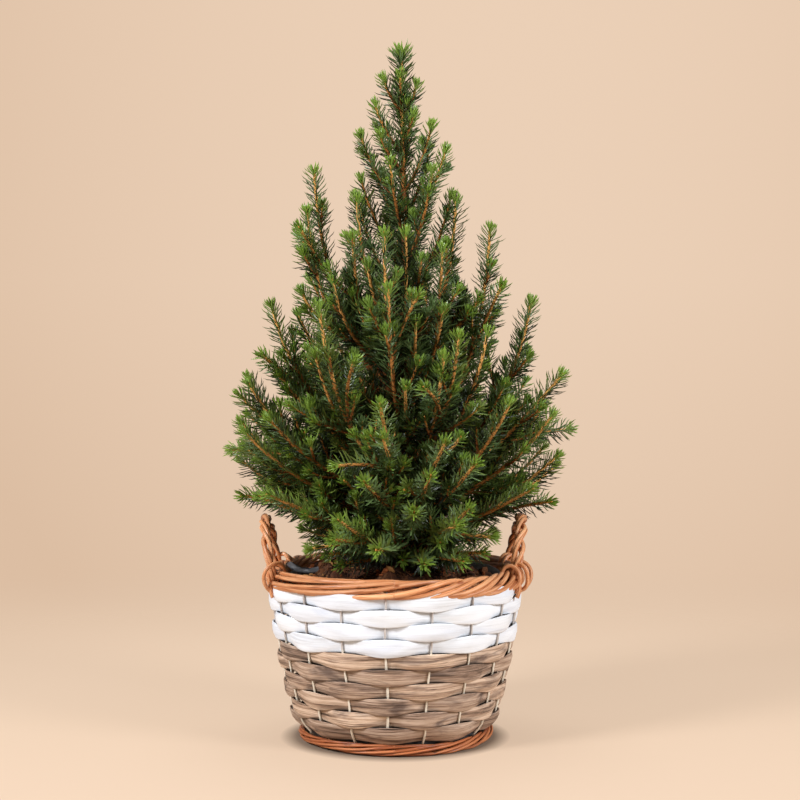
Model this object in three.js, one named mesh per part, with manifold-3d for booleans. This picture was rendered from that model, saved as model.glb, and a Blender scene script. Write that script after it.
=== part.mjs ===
// A dwarf alberta spruce in its nursery pot, set in a round basket of woven wood strips.
// Millimetres, +Z up, +X to the right and -Y to the front. The origin is the centre of the
// flat underside. Angles of basket pieces are counted from the front, positive to the right;
// turns of boughs are counted anticlockwise from the right-hand side, seen from above.

import * as THREE from 'three';
import { mergeVertices } from 'three/addons/utils/BufferGeometryUtils.js';
import Module from 'manifold-3d';

const wasm = await Module();
wasm.setup();

// ---------------------------------------------------------------- driving dimensions

const GAP = 0.3; // clearance between pieces that touch
const LEAF = {
  air: 2.4, // between one mass of foliage and the next, before a mass is thinned out
  tolerance: 0.9, // how far thinning out its corners may move the surface of a mass
  least: 1.3, // air that is left at the narrowest, measured from the other mass as first made
};

const FACETS = { round: 27, rod: 7, arch: 11, knot: [8, 6], stake: 4, trunk: 9, limb: 5, plume: 6 };

const BASE = {
  radius: 66,
  thickness: 5,
  ringInner: 66.3,
  ringOuter: 73.7,
  ringHeight: 9,
  hoopInner: 71.5, // the hoop that joins the stakes lies on the ring
  hoopOuter: 76.5,
};

const WEAVE = {
  rows: 10,
  paintedRows: 4,
  bottom: 10.7,
  pitch: 10.85,
  radius: 74.7, // middle of the wall at its bottom
  flare: 0.1833, // how much the radius grows for each millimetre of height
  strip: 1.3, // thickness of a wood strip
  wave: 2.05, // how far a strip swings out and in as it passes the stakes
  stakes: 18,
  firstStake: -5,
  frontSpread: 0.06, // the stakes stand wider apart at the front, by this share, and closer at the back
  stakeRadius: 1.1,
};

const RIM = { radius: 90.2, halfWidth: 6.2, halfHeight: 6.5, height: 126, corner: 2.6 };

const HANDLE = {
  halfSpan: 31,
  rise: 38,
  bulge: 7, // how far the arch leans out at its top
  reach: 88.5,
  rod: 6,
  knot: 10.6, // radius of the binding that wraps the rim at each foot
  fullness: 0.8, // under 1 makes the arch rounder at its shoulders
  clear: 3, // air kept between a handle and the foliage
};

const POT = { bottom: 65, top: 82.6, wall: 1.2, height: 126 };

const SOIL = { crest: 124, crestRadius: 30, edge: 114 };

const TRUNK = { foot: 12, tip: 4.3, sway: 2.5, top: 506, footRadius: 8.2, tipRadius: 1.1, flare: 4.5 };

const CROWN_TOP = 528;

// The shape that the boughs of one tier share. `lean` says where the curve of a bough is
// pulled to, as shares of its reach and of its rise; `width` is the half-width of a plume;
// a side lobe fans out by `spread`, ends `drop` lower and reaches `out` times as far.
const TIERS = {
  high: { lean: [0.92, 0.28], width: 25, spread: 24, drop: 46, out: 1.26, limb: 2.3 },
  mid: { lean: [0.68, 0.36], width: 27, spread: 21, drop: 40, out: 1.09, limb: 2.6 },
  low: { lean: [0.56, 0.42], width: 29, spread: 18, drop: 48, out: 1.08, limb: 2.8 },
  skirt: { lean: [0.58, 0.3], width: 27, spread: 19, drop: 27, out: 0.94, limb: 2.6 },
};

// Tier, turn in degrees, height of the root on the trunk, reach of the tip from the trunk's
// foot line, height of the tip, and the side on which the long side lobe lies.
const BOUGHS = [
  ['high', 176, 262, 62, 436, 1],
  ['high', -4, 214, 72, 392, -1],
  ['high', 262, 196, 58, 386, 1],
  ['high', 88, 238, 60, 414, -1],
  ['mid', 172, 206, 97, 334, 1],
  ['mid', 4, 186, 105, 337, 1],
  ['mid', 233, 176, 92, 332, 1],
  ['mid', 302, 200, 88, 312, -1],
  ['mid', 84, 190, 100, 330, 1],
  ['low', -9, 168, 130, 281, 1],
  ['low', 190, 162, 122, 265, -1],
  ['low', 264, 158, 106, 262, -1],
  ['low', 132, 172, 122, 262, 1],
  ['low', 46, 158, 124, 270, -1],
  ['skirt', 12, 142, 130, 208, -1],
  ['skirt', 166, 146, 128, 212, 1],
  ['skirt', 300, 144, 108, 186, 1],
  ['skirt', 246, 140, 104, 178, -1],
  ['skirt', 88, 138, 118, 196, 1],
];

// Along the whole run of a bough, in shares of it: where its own solid ends, where its
// foliage begins and where its second plume forks off; then how thin the limb gets.
const RUN = { limbEnd: 0.46, foliageStart: 0.3, fork: 0.4, forkPull: 0.45, forkWidth: 0.85, taper: 0.35 };

// One plume: its rings in shares of its run, how far it swells before the middle, how full
// it is, and the two waves that make it uneven.
const PLUME = { rings: [0, 0.1, 0.36, 0.7, 1], swell: 0.72, fullness: 0.72, coarse: 0.13, fine: 0.08 };

// The leading shoot and the short shoots that ring it, from the highest down.
const LEADER = {
  start: 380,
  width: 15,
  shoots: 11,
  firstTurn: 8,
  highest: 499,
  step: 9.5,
  reach: 10.5,
  spread: 0.4, // growth of the reach for each millimetre below the top
  run: 34,
  runStep: 3,
  shootWidth: 10,
  shootWidthStep: 0.5,
};

// The dense foliage round the trunk: name, lowest and highest point, half-width.
const CORES = [
  ['core_high', 250, 446, 37],
  ['core_low', 134, 310, 42],
];

const GOLDEN_TURN = 137.5; // degrees between one shoot and the next round a stem

// ---------------------------------------------------------------- finishes

const finish = (color, roughness) => new THREE.MeshStandardMaterial({ color, roughness, metalness: 0 });

const FINISH = {
  willow: () => finish(0xb4662f, 0.45),
  cane: () => finish(0xcdbb9c, 0.6),
  greyStrip: () => finish(0x8c7763, 0.7),
  whiteStrip: () => finish(0xf1f0f2, 0.55),
  board: () => finish(0x7a6653, 0.75),
  plastic: () => finish(0x2b2b2d, 0.5),
  soil: () => finish(0x4a3020, 0.95),
  bark: () => finish(0x8a5836, 0.85),
  foliage: () => finish(0x3c6330, 0.7),
  freshFoliage: () => finish(0x5f8f3c, 0.7),
};

// ---------------------------------------------------------------- making and joining solids

const radians = THREE.MathUtils.degToRad;
const { lerp, clamp } = THREE.MathUtils;

/** Only positions, with shared corners merged, no flat triangles and every face outward. */
function welded(geometry) {
  const bare = geometry.clone();
  bare.deleteAttribute('normal');
  bare.deleteAttribute('uv');
  const merged = mergeVertices(bare, 1e-4);
  const place = (i) => new THREE.Vector3().fromBufferAttribute(merged.attributes.position, i);
  const corners = Array.from(merged.index.array);
  const faces = [];
  let volume = 0;
  for (let i = 0; i < corners.length; i += 3) {
    const [a, b, c] = corners.slice(i, i + 3);
    if (a === b || b === c || c === a) continue;
    faces.push([a, b, c]);
    volume += place(a).dot(place(b).cross(place(c)));
  }
  const turned = volume < 0 ? faces.map(([a, b, c]) => [a, c, b]) : faces;
  merged.setIndex(turned.flat());
  return merged;
}

/** A three.js geometry as a solid that can be joined and cut. */
function toSolid(geometry) {
  const mesh = welded(geometry);
  return new wasm.Manifold(new wasm.Mesh({
    numProp: 3,
    vertProperties: new Float32Array(mesh.attributes.position.array),
    triVerts: new Uint32Array(mesh.index.array),
  }));
}

/** The largest single body of a solid, as a three.js geometry. */
function toGeometry(solid) {
  const bodies = solid.decompose().sort((a, b) => b.volume() - a.volume());
  const { vertProperties, triVerts } = bodies[0].getMesh();
  const geometry = new THREE.BufferGeometry();
  geometry.setAttribute('position', new THREE.BufferAttribute(new Float32Array(vertProperties), 3));
  geometry.setIndex(Array.from(triVerts));
  return geometry;
}

/** A broad round slab whose flat top is at a height, to cut away what lies lower. */
function everythingBelow(height) {
  const [radius, thickness] = [200, 100];
  return toSolid(new THREE.CylinderGeometry(radius, radius, thickness, 12)
    .rotateX(Math.PI / 2).translate(0, 0, height - thickness / 2));
}

const joined = (solids) => solids.reduce((whole, solid) => whole.add(solid));

/** A profile of [radius, height] points turned round the upright axis. */
function revolve(profile, segments, start = 0) {
  const points = profile.map(([radius, height]) => new THREE.Vector2(radius, height));
  return new THREE.LatheGeometry(points, segments, start).rotateX(Math.PI / 2);
}

/** Moves every corner of a geometry: `move` gets the corner and changes it. */
function reshaped(geometry, move) {
  const places = geometry.attributes.position;
  const corner = new THREE.Vector3();
  for (let i = 0; i < places.count; i += 1) {
    corner.fromBufferAttribute(places, i);
    move(corner);
    places.setXYZ(i, corner.x, corner.y, corner.z);
  }
  return geometry;
}

/** A straight-sided round shape, for a rod's section. */
function roundSection(radius, sides) {
  const section = new THREE.Shape();
  for (let i = 0; i < sides; i += 1) {
    const angle = (2 * Math.PI * i) / sides;
    const [x, y] = [radius * Math.cos(angle), radius * Math.sin(angle)];
    if (i === 0) section.moveTo(x, y);
    else section.lineTo(x, y);
  }
  return section;
}

/** A rod of one thickness along a path. */
function rod(path, radius, sides, steps) {
  const section = roundSection(radius, sides);
  return new THREE.ExtrudeGeometry(section, { steps, extrudePath: path, bevelEnabled: false });
}

/**
 * A closed round body whose spine is a curve, with its rings at the given shares of the
 * curve and its two ends drawn to a point at the first and the last of them; a share given
 * twice makes a flat end. `radiusAt(share, angle)` is its half-thickness there.
 */
function alongCurve(curve, shares, sides, radiusAt) {
  const last = shares.length - 1;
  const body = revolve(shares.map((share, i) => [i === 0 || i === last ? 0 : 1, share]), sides);
  return reshaped(body, (corner) => {
    const share = clamp(corner.z, 0, 1);
    const angle = Math.atan2(corner.y, corner.x);
    const spine = curve.getPoint(share);
    const along = curve.getTangent(share);
    const across = new THREE.Vector3(0, 0, 1).cross(along).normalize();
    if (across.lengthSq() < 0.5) across.set(1, 0, 0);
    const upward = along.clone().cross(across);
    const radius = radiusAt(share, angle) * Math.hypot(corner.x, corner.y);
    corner.copy(spine)
      .addScaledVector(across, radius * Math.cos(angle))
      .addScaledVector(upward, radius * Math.sin(angle));
  });
}

// ---------------------------------------------------------------- basket

const wallRadius = (height) => WEAVE.radius + WEAVE.flare * (height - WEAVE.bottom);
const wallTop = WEAVE.bottom + WEAVE.rows * WEAVE.pitch;

/** The real angle of a place in the wall whose angle would be `even` with all stakes evenly spread. */
const settled = (even) => even + WEAVE.frontSpread * Math.sin(even);

const baseDisc = () => revolve([
  [0, 0], [BASE.radius, 0], [BASE.radius, BASE.thickness], [0, BASE.thickness],
], FACETS.round);

function footRing() {
  const { ringInner, ringOuter, ringHeight } = BASE;
  const middle = (ringInner + ringOuter) / 2;
  return revolve([
    [ringInner, 0], [middle + 2, 0], [ringOuter, ringHeight * 0.35], [ringOuter, ringHeight * 0.75],
    [middle + 1, ringHeight], [ringInner, ringHeight], [ringInner, 0],
  ], FACETS.round);
}

/** One wood strip round the basket, passing outside and inside the stakes by turns. */
function weaveRow(row) {
  const low = WEAVE.bottom + row * WEAVE.pitch;
  const high = low + WEAVE.pitch - GAP;
  const half = WEAVE.strip / 2;
  const profile = [[-half, low], [half, low], [half, high], [-half, high], [-half, low]]
    .map(([offset, height]) => [wallRadius(height) + offset, height]);
  const start = radians(WEAVE.firstStake);
  const side = row % 2 === 0 ? 1 : -1;
  return reshaped(revolve(profile, WEAVE.stakes, start), (corner) => {
    const angle = Math.atan2(corner.x, -corner.y);
    const swing = side * WEAVE.wave * Math.cos((WEAVE.stakes / 2) * (angle - start));
    const radius = Math.hypot(corner.x, corner.y) + swing;
    corner.x = radius * Math.sin(settled(angle));
    corner.y = -radius * Math.cos(settled(angle));
  });
}

/** The upright stakes of the wall, standing on the hoop that joins them at the foot. */
function stakeCage() {
  const hoopTop = WEAVE.bottom - GAP;
  const hoopLow = BASE.ringHeight + GAP;
  const { hoopInner, hoopOuter } = BASE;
  const hoop = revolve([
    [hoopInner, hoopLow], [hoopOuter, hoopLow], [hoopOuter, hoopTop], [hoopInner, hoopTop],
    [hoopInner, hoopLow],
  ], FACETS.round);
  const stakes = Array.from({ length: WEAVE.stakes }, (_, i) => {
    const angle = settled(radians(WEAVE.firstStake + (360 * i) / WEAVE.stakes));
    const at = (height) => new THREE.Vector3(
      wallRadius(height) * Math.sin(angle),
      -wallRadius(height) * Math.cos(angle),
      height,
    );
    const path = new THREE.LineCurve3(at((hoopLow + hoopTop) / 2), at(wallTop));
    return toSolid(rod(path, WEAVE.stakeRadius, FACETS.stake, 1));
  });
  return toGeometry(joined([toSolid(hoop), ...stakes]));
}

function rim(grow = 0) {
  const { radius, corner, height } = RIM;
  const [wide, tall] = [RIM.halfWidth + grow, RIM.halfHeight + grow];
  const section = [
    [-wide, -tall + corner], [-wide + corner, -tall], [wide - corner, -tall], [wide, -tall + corner],
    [wide, tall - corner], [wide - corner, tall], [-wide + corner, tall], [-wide, tall - corner],
    [-wide, -tall + corner],
  ];
  return revolve(section.map(([across, up]) => [radius + across, height + up]), FACETS.round);
}

/** The arch of one handle: it springs from the rim, rises and leans a little outward. */
class HandleArch extends THREE.Curve {
  constructor(side) {
    super();
    this.side = side;
  }

  getPoint(share) {
    const swing = Math.PI * share;
    const lift = Math.sin(swing);
    return new THREE.Vector3(
      this.side * (HANDLE.reach + HANDLE.bulge * lift),
      -HANDLE.halfSpan * Math.cos(swing),
      RIM.height + HANDLE.rise * Math.max(lift, 0) ** HANDLE.fullness,
    );
  }
}

/** One handle with the two bindings that sit over the rim. */
function handle(side) {
  const arch = new HandleArch(side);
  const knots = [0, 1].map((end) => {
    const foot = arch.getPoint(end);
    return toSolid(new THREE.SphereGeometry(HANDLE.knot, ...FACETS.knot).translate(foot.x, foot.y, foot.z));
  });
  const whole = joined([toSolid(rod(arch, HANDLE.rod, FACETS.rod, FACETS.arch)), ...knots]);
  return toGeometry(whole
    .subtract(toSolid(rim(GAP)))
    .subtract(everythingBelow(wallTop + GAP))
    .subtract(toSolid(potOutline(GAP))));
}

/** The block of air over one handle's side of the rim that a hand needs, which stays free of foliage. */
function handleRoom(side) {
  const { halfSpan, knot, rise, rod: thickness, clear } = HANDLE;
  const width = 2 * (halfSpan + knot + clear);
  const depth = 60;
  const height = rise + thickness + clear;
  return toSolid(new THREE.BoxGeometry(depth, width, height)
    .translate(side * (RIM.radius - knot - clear + depth / 2), 0, RIM.height + height / 2));
}

const potFloor = BASE.thickness + GAP;

/** The full outer form of the nursery pot, with no hollow. */
function potOutline(grow = 0) {
  return revolve([
    [0, potFloor - grow], [POT.bottom + grow, potFloor - grow],
    [POT.top + grow, POT.height + grow], [0, POT.height + grow],
  ], FACETS.round);
}

/** The thin nursery pot, open at the top. */
function nurseryPot() {
  const { bottom, top, wall, height } = POT;
  return revolve([
    [0, potFloor], [bottom, potFloor], [top, height], [top - wall, height],
    [bottom - wall, potFloor + wall], [0, potFloor + wall],
  ], FACETS.round);
}

/** Coarse soil that fills the pot and is heaped towards the stem. */
function soil() {
  const floor = potFloor + POT.wall + GAP;
  const insideAt = (height) => lerp(POT.bottom, POT.top, (height - potFloor) / (POT.height - potFloor))
    - POT.wall - GAP;
  return revolve([
    [0, floor], [insideAt(floor), floor], [insideAt(SOIL.edge), SOIL.edge],
    [SOIL.crestRadius, SOIL.crest], [0, SOIL.crest],
  ], FACETS.round);
}

// ---------------------------------------------------------------- limbs

const trunkBase = SOIL.crest + GAP;
const trunkShare = (height) => (height - trunkBase) / (CROWN_TOP - trunkBase);

/** The middle of the trunk at a height: it leans back towards the middle of the pot. */
function trunkAxis(height) {
  const share = trunkShare(height);
  const lean = lerp(TRUNK.foot, TRUNK.tip, share);
  return new THREE.Vector3(lean, TRUNK.sway * Math.sin(Math.PI * share), height);
}

function trunk(grow = 0) {
  const axis = new THREE.LineCurve3(new THREE.Vector3(), new THREE.Vector3(0, 0, 1));
  const length = TRUNK.top - trunkBase;
  const shares = [0, 0, 0.02, 0.06, 0.35, 1, 1];
  const body = alongCurve(axis, shares, FACETS.trunk, (share, angle) => {
    const taper = lerp(TRUNK.footRadius, TRUNK.tipRadius, share ** 0.8);
    const flare = TRUNK.flare * Math.exp(-share * 45) * (1 + 0.35 * Math.cos(4 * angle + 0.6));
    return taper + flare + grow;
  });
  return reshaped(body, (corner) => {
    const height = trunkBase + corner.z * length;
    const middle = trunkAxis(height);
    corner.set(corner.x + middle.x, corner.y + middle.y, height + (corner.z > 0.5 ? grow : -grow));
  });
}

/** The point at a turn and a reach from the line over the middle of the pot. */
const outward = (turn, reach, height) => new THREE.Vector3(
  reach * Math.cos(radians(turn)),
  reach * Math.sin(radians(turn)),
  height,
);

/** The whole run of a bough from the middle of the trunk to its furthest tip. */
function boughCurve([tierName, turn, root, reach, tip]) {
  const [lean, lift] = TIERS[tierName].lean;
  const from = trunkAxis(root);
  const to = outward(turn, reach, tip);
  const pull = from.clone().lerp(to, lean).setZ(lerp(root, tip, lift));
  return new THREE.QuadraticBezierCurve3(from, pull, to);
}

/** The bare limb of one bough, tapering, up to a little inside its mass of foliage. */
function boughLimb(row, grow = 0) {
  const curve = boughCurve(row);
  const thick = TIERS[row[0]].limb;
  const end = RUN.limbEnd + grow / 100; // a share of the run, which is about 100 long
  const shares = [0, 0, end * 0.5, end, end];
  return alongCurve(curve, shares, FACETS.limb, (share) => lerp(thick, thick * RUN.taper, share) + grow);
}

/** One uneven plume of foliage along a curve, from share `start` of it to its end. */
function plume(curve, width, seed, start = 0, grow = 0) {
  const rings = PLUME.rings.map((step) => lerp(start, 1, step));
  return alongCurve(curve, rings, FACETS.plume, (share, angle) => {
    const run = clamp((share - start) / (1 - start), 0, 1);
    const fullness = Math.sin(Math.PI * run ** PLUME.swell) ** PLUME.fullness;
    const coarse = PLUME.coarse * Math.sin(3 * angle + 7 * run + seed);
    const fine = PLUME.fine * Math.sin(5 * angle - 11 * run + 2 * seed);
    return width * fullness * (1 + coarse + fine) + grow;
  });
}

/** The lobes of the mass on one bough: its own plume and one that forks off beside it. */
function massLobes(row, index, grow) {
  const [tierName, turn, , reach, tip, side] = row;
  const tier = TIERS[tierName];
  const main = boughCurve(row);
  const fork = (at, to) => {
    const from = main.getPoint(at);
    const pull = from.clone().addScaledVector(main.getTangent(at), from.distanceTo(to) * RUN.forkPull);
    return new THREE.QuadraticBezierCurve3(from, pull, to);
  };
  const wide = fork(RUN.fork, outward(turn + side * tier.spread, reach * tier.out, tip - tier.drop));
  return toSolid(plume(main, tier.width, index, RUN.foliageStart, grow))
    .add(toSolid(plume(wide, tier.width * RUN.forkWidth, index + 2, 0, grow)));
}

/** The mass at the top: the leading shoot and the short shoots that ring it. */
function leaderLobes(grow) {
  const stem = new THREE.LineCurve3(trunkAxis(LEADER.start), trunkAxis(CROWN_TOP));
  const lobes = [toSolid(plume(stem, LEADER.width, 1, 0, grow))];
  for (let i = 0; i < LEADER.shoots; i += 1) {
    const height = LEADER.highest - LEADER.step * i;
    const reach = LEADER.reach + (CROWN_TOP - height) * LEADER.spread;
    const from = trunkAxis(height - LEADER.run - LEADER.runStep * i);
    const tip = outward(LEADER.firstTurn + GOLDEN_TURN * i, reach, height);
    tip.x += TRUNK.tip;
    const pull = from.clone().lerp(tip, 0.75).setZ(lerp(from.z, tip.z, 0.4));
    const curve = new THREE.QuadraticBezierCurve3(from, pull, tip);
    lobes.push(toSolid(plume(curve, LEADER.shootWidth + LEADER.shootWidthStep * i, i, 0, grow)));
  }
  return joined(lobes);
}

const coreLobe = ([, low, high, width], seed, grow) => toSolid(
  plume(new THREE.LineCurve3(trunkAxis(low), trunkAxis(high)), width, seed, 0, grow),
);

// ---------------------------------------------------------------- assembly

const spruce = new THREE.Group();

function place(name, geometry, material) {
  const mesh = new THREE.Mesh(welded(geometry), material);
  mesh.name = name;
  spruce.add(mesh);
}

const numbered = (word, index) => `${word}_${String(index + 1).padStart(2, '0')}`;

place('base_disc', baseDisc(), FINISH.board());
place('foot_ring', footRing(), FINISH.willow());
for (let row = 0; row < WEAVE.rows; row += 1) {
  const painted = row >= WEAVE.rows - WEAVE.paintedRows;
  place(numbered('row', row), weaveRow(row), painted ? FINISH.whiteStrip() : FINISH.greyStrip());
}
place('stake_cage', stakeCage(), FINISH.cane());
place('rim', rim(), FINISH.willow());
place('handle_left', handle(-1), FINISH.willow());
place('handle_right', handle(1), FINISH.willow());
place('nursery_pot', nurseryPot(), FINISH.plastic());
place('soil', soil(), FINISH.soil());
place('trunk', trunk(), FINISH.bark());

const trunkRoom = toSolid(trunk(GAP));
BOUGHS.forEach((row, index) => {
  place(numbered('bough', index), toGeometry(toSolid(boughLimb(row)).subtract(trunkRoom)), FINISH.bark());
});
const limbRoom = joined([trunkRoom, ...BOUGHS.map((row) => toSolid(boughLimb(row, GAP)))]);
const airAboveBasket = everythingBelow(RIM.height + RIM.halfHeight + 1);
let wideRoom = joined([airAboveBasket, handleRoom(-1), handleRoom(1)]);
let leastRoom = limbRoom;

/**
 * Places a mass cut clear of the limbs and of every mass placed before it, then keeps its
 * own room free. `lobesGrown(grow)` makes its lobes, thickened by `grow`.
 */
function placeMass(name, material, lobesGrown) {
  const thinned = lobesGrown(0).subtract(wideRoom).simplify(LEAF.tolerance);
  place(name, toGeometry(thinned.subtract(leastRoom)), material);
  wideRoom = wideRoom.add(lobesGrown(LEAF.air));
  leastRoom = leastRoom.add(lobesGrown(LEAF.least));
}

placeMass('mass_leader', FINISH.freshFoliage(), leaderLobes);
BOUGHS.forEach((row, index) => {
  placeMass(numbered('mass', index), FINISH.foliage(), (grow) => massLobes(row, index, grow));
});
CORES.forEach((core, index) => {
  placeMass(core[0], FINISH.foliage(), (grow) => coreLobe(core, index, grow));
});

export default spruce;
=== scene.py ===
"""Looks of a dwarf alberta spruce in its nursery pot, set in a round basket of woven wood strips.

Metres, +Z up, +X to the right and -Y to the front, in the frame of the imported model. Angles of
basket pieces are counted from the front, positive to the right. Turns of boughs are counted
anticlockwise from the right-hand side, seen from above.
"""

from __future__ import annotations

import logging
import math
from collections.abc import Callable, Sequence
from dataclasses import dataclass, field, replace
from enum import Enum

import bpy
import numpy as np
from numpy.typing import NDArray
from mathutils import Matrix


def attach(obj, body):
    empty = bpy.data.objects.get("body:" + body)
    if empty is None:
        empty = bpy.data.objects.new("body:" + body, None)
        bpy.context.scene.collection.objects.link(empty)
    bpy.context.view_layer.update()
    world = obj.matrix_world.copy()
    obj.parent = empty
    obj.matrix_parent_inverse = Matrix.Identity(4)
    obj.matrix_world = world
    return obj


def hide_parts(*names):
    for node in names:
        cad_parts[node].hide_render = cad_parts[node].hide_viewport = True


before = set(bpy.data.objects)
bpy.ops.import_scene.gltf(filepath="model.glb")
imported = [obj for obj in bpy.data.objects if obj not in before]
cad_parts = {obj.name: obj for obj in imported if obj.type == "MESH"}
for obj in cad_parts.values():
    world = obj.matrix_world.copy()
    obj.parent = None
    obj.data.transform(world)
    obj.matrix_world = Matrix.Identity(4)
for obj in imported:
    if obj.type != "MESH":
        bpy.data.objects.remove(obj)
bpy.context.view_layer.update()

Floats = NDArray[np.float64]
Whole = NDArray[np.int64]
Value = float | Floats
Rng = np.random.Generator
Rule = Callable[[Floats, Floats], Floats]
Colour = tuple[float, float, float, float]
Span = tuple[float, float]
Socket = bpy.types.NodeSocket
Material = bpy.types.Material

log = logging.getLogger("spruce")
UP = np.array([0.0, 0.0, 1.0])
GOLDEN_TURN = math.radians(137.5)
MM = 0.001


# Arithmetic on whole arrays


def tint(red: float, green: float, blue: float) -> Colour:
    """A colour from display values c of 0 to 255: the light ((c/255 + 0.055) / 1.055) to the 2.4th."""
    light = ((np.array([red, green, blue]) / 255.0 + 0.055) / 1.055) ** 2.4
    return (*light.tolist(), 1.0)


def lerp(low: Value, high: Value, share: Value) -> Value:
    """The value at a share of the way from low to high."""
    return low + (high - low) * share


def gone(value: Value, start: float, width: float) -> Value:
    """The share, from 0 to 1, that a value has gone of a stretch with this start and width."""
    return np.clip((value - start) / width, 0, 1)


def full_turn(count: int) -> Floats:
    """Angles spread evenly round a circle, from 0."""
    return np.linspace(0, 2 * np.pi, count, endpoint=False)


def sway(angle: Floats, times: float, rng: Rng) -> Floats:
    """A sine of so many times the angle, with a phase drawn by chance."""
    return np.sin(times * angle + rng.uniform(0, 6))


def wheel(angle: Floats, first: Floats, second: Floats) -> Floats:
    """The directions cos(angle) first + sin(angle) second."""
    return np.cos(angle)[..., None] * first + np.sin(angle)[..., None] * second


def unit(vectors: Floats) -> Floats:
    """The same directions, each of length one."""
    return vectors / np.maximum(np.linalg.norm(vectors, axis=-1, keepdims=True), 1e-12)


def bend(start: Floats, pull: Floats, end: Floats, count: int) -> Floats:
    """Points on a curve: the one at share s is (1-s)^2 start + 2s(1-s) pull + s^2 end."""
    share = np.linspace(0.0, 1.0, count)[:, None]
    return (1 - share) ** 2 * start + 2 * share * (1 - share) * pull + share**2 * end


def run_lengths(path: Floats) -> Floats:
    """How far each point of a path lies along it."""
    return np.concatenate([[0.0], np.cumsum(np.linalg.norm(np.diff(path, axis=0), axis=1))])


def headings(path: Floats, closed: bool = False) -> Floats:
    """The direction of a path at each of its points."""
    if closed:
        return unit(np.roll(path, -1, axis=0) - np.roll(path, 1, axis=0))
    return unit(np.gradient(path, axis=0))


def at_lengths(path: Floats, lengths: Floats) -> tuple[Floats, Floats]:
    """The points of a path that lie so far along it, and its directions there."""
    run = run_lengths(path)
    points, ways = (np.stack([np.interp(lengths, run, values[:, axis]) for axis in range(3)], axis=1)
                    for values in (path, headings(path)))
    return points, unit(ways)


@dataclass(frozen=True)
class Roughness:
    """An uneven field in space: the mean of many sine waves in random directions.

    The value at a point p is the mean over the waves of sin(p . w + phase), about -1 to 1, where
    each w has a random direction and a length of 2 pi over a wavelength near `grain`.
    """

    grain: float
    seed: int
    waves: int = 14

    def at(self, points: Floats) -> Floats:
        """The value of the field at each of the points."""
        rng = np.random.default_rng(self.seed)
        ways = unit(rng.normal(size=(self.waves, 3)))
        pitch = self.grain * rng.uniform(0.6, 1.7, self.waves)
        phase = rng.uniform(0, 2 * np.pi, self.waves)
        swing = np.sin(points @ (ways * (2 * np.pi / pitch)[:, None]).T + phase)
        return swing.mean(axis=-1) * math.sqrt(self.waves) * 0.75


# Meshes from arrays


def sheet_faces(rows: int, columns: int, ring: bool = False, loop: bool = False) -> Whole:
    """The four-cornered faces of a grid of points.

    The face at row i and column j has the corners (i, j), (i, j+1), (i+1, j+1) and (i+1, j).

    Args:
        rows: Rows of points.
        columns: Points in each row.
        ring: Whether the last column joins the first.
        loop: Whether the last row joins the first.

    Returns:
        One face a row.
    """
    i = np.arange(rows if loop else rows - 1)[:, None]
    j = np.arange(columns if ring else columns - 1)[None, :]
    after_i, after_j = (i + 1) % rows, (j + 1) % columns
    corners = (i, j), (i, after_j), (after_i, after_j), (after_i, j)
    return np.stack([(row * columns + column).ravel() for row, column in corners], axis=1)


def shell(rings: Floats, first: Floats, last: Floats) -> tuple[Floats, list[Whole]]:
    """A closed surface through rings of points, shut by a fan at each end.

    Args:
        rings: The points of each ring.
        first: The point that shuts the first ring.
        last: The point that shuts the last ring.

    Returns:
        All points, and arrays of faces.
    """
    rows, sides = rings.shape[:2]
    points = np.concatenate([rings.reshape(-1, 3), [first], [last]])
    low, high = np.full((2, sides), [[rows * sides], [rows * sides + 1]])
    j, top = np.arange(sides), (rows - 1) * sides
    after = (j + 1) % sides
    return points, [sheet_faces(rows, sides, ring=True), np.stack([low, after, j], axis=1),
                    np.stack([high, top + j, top + after], axis=1)]


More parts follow.
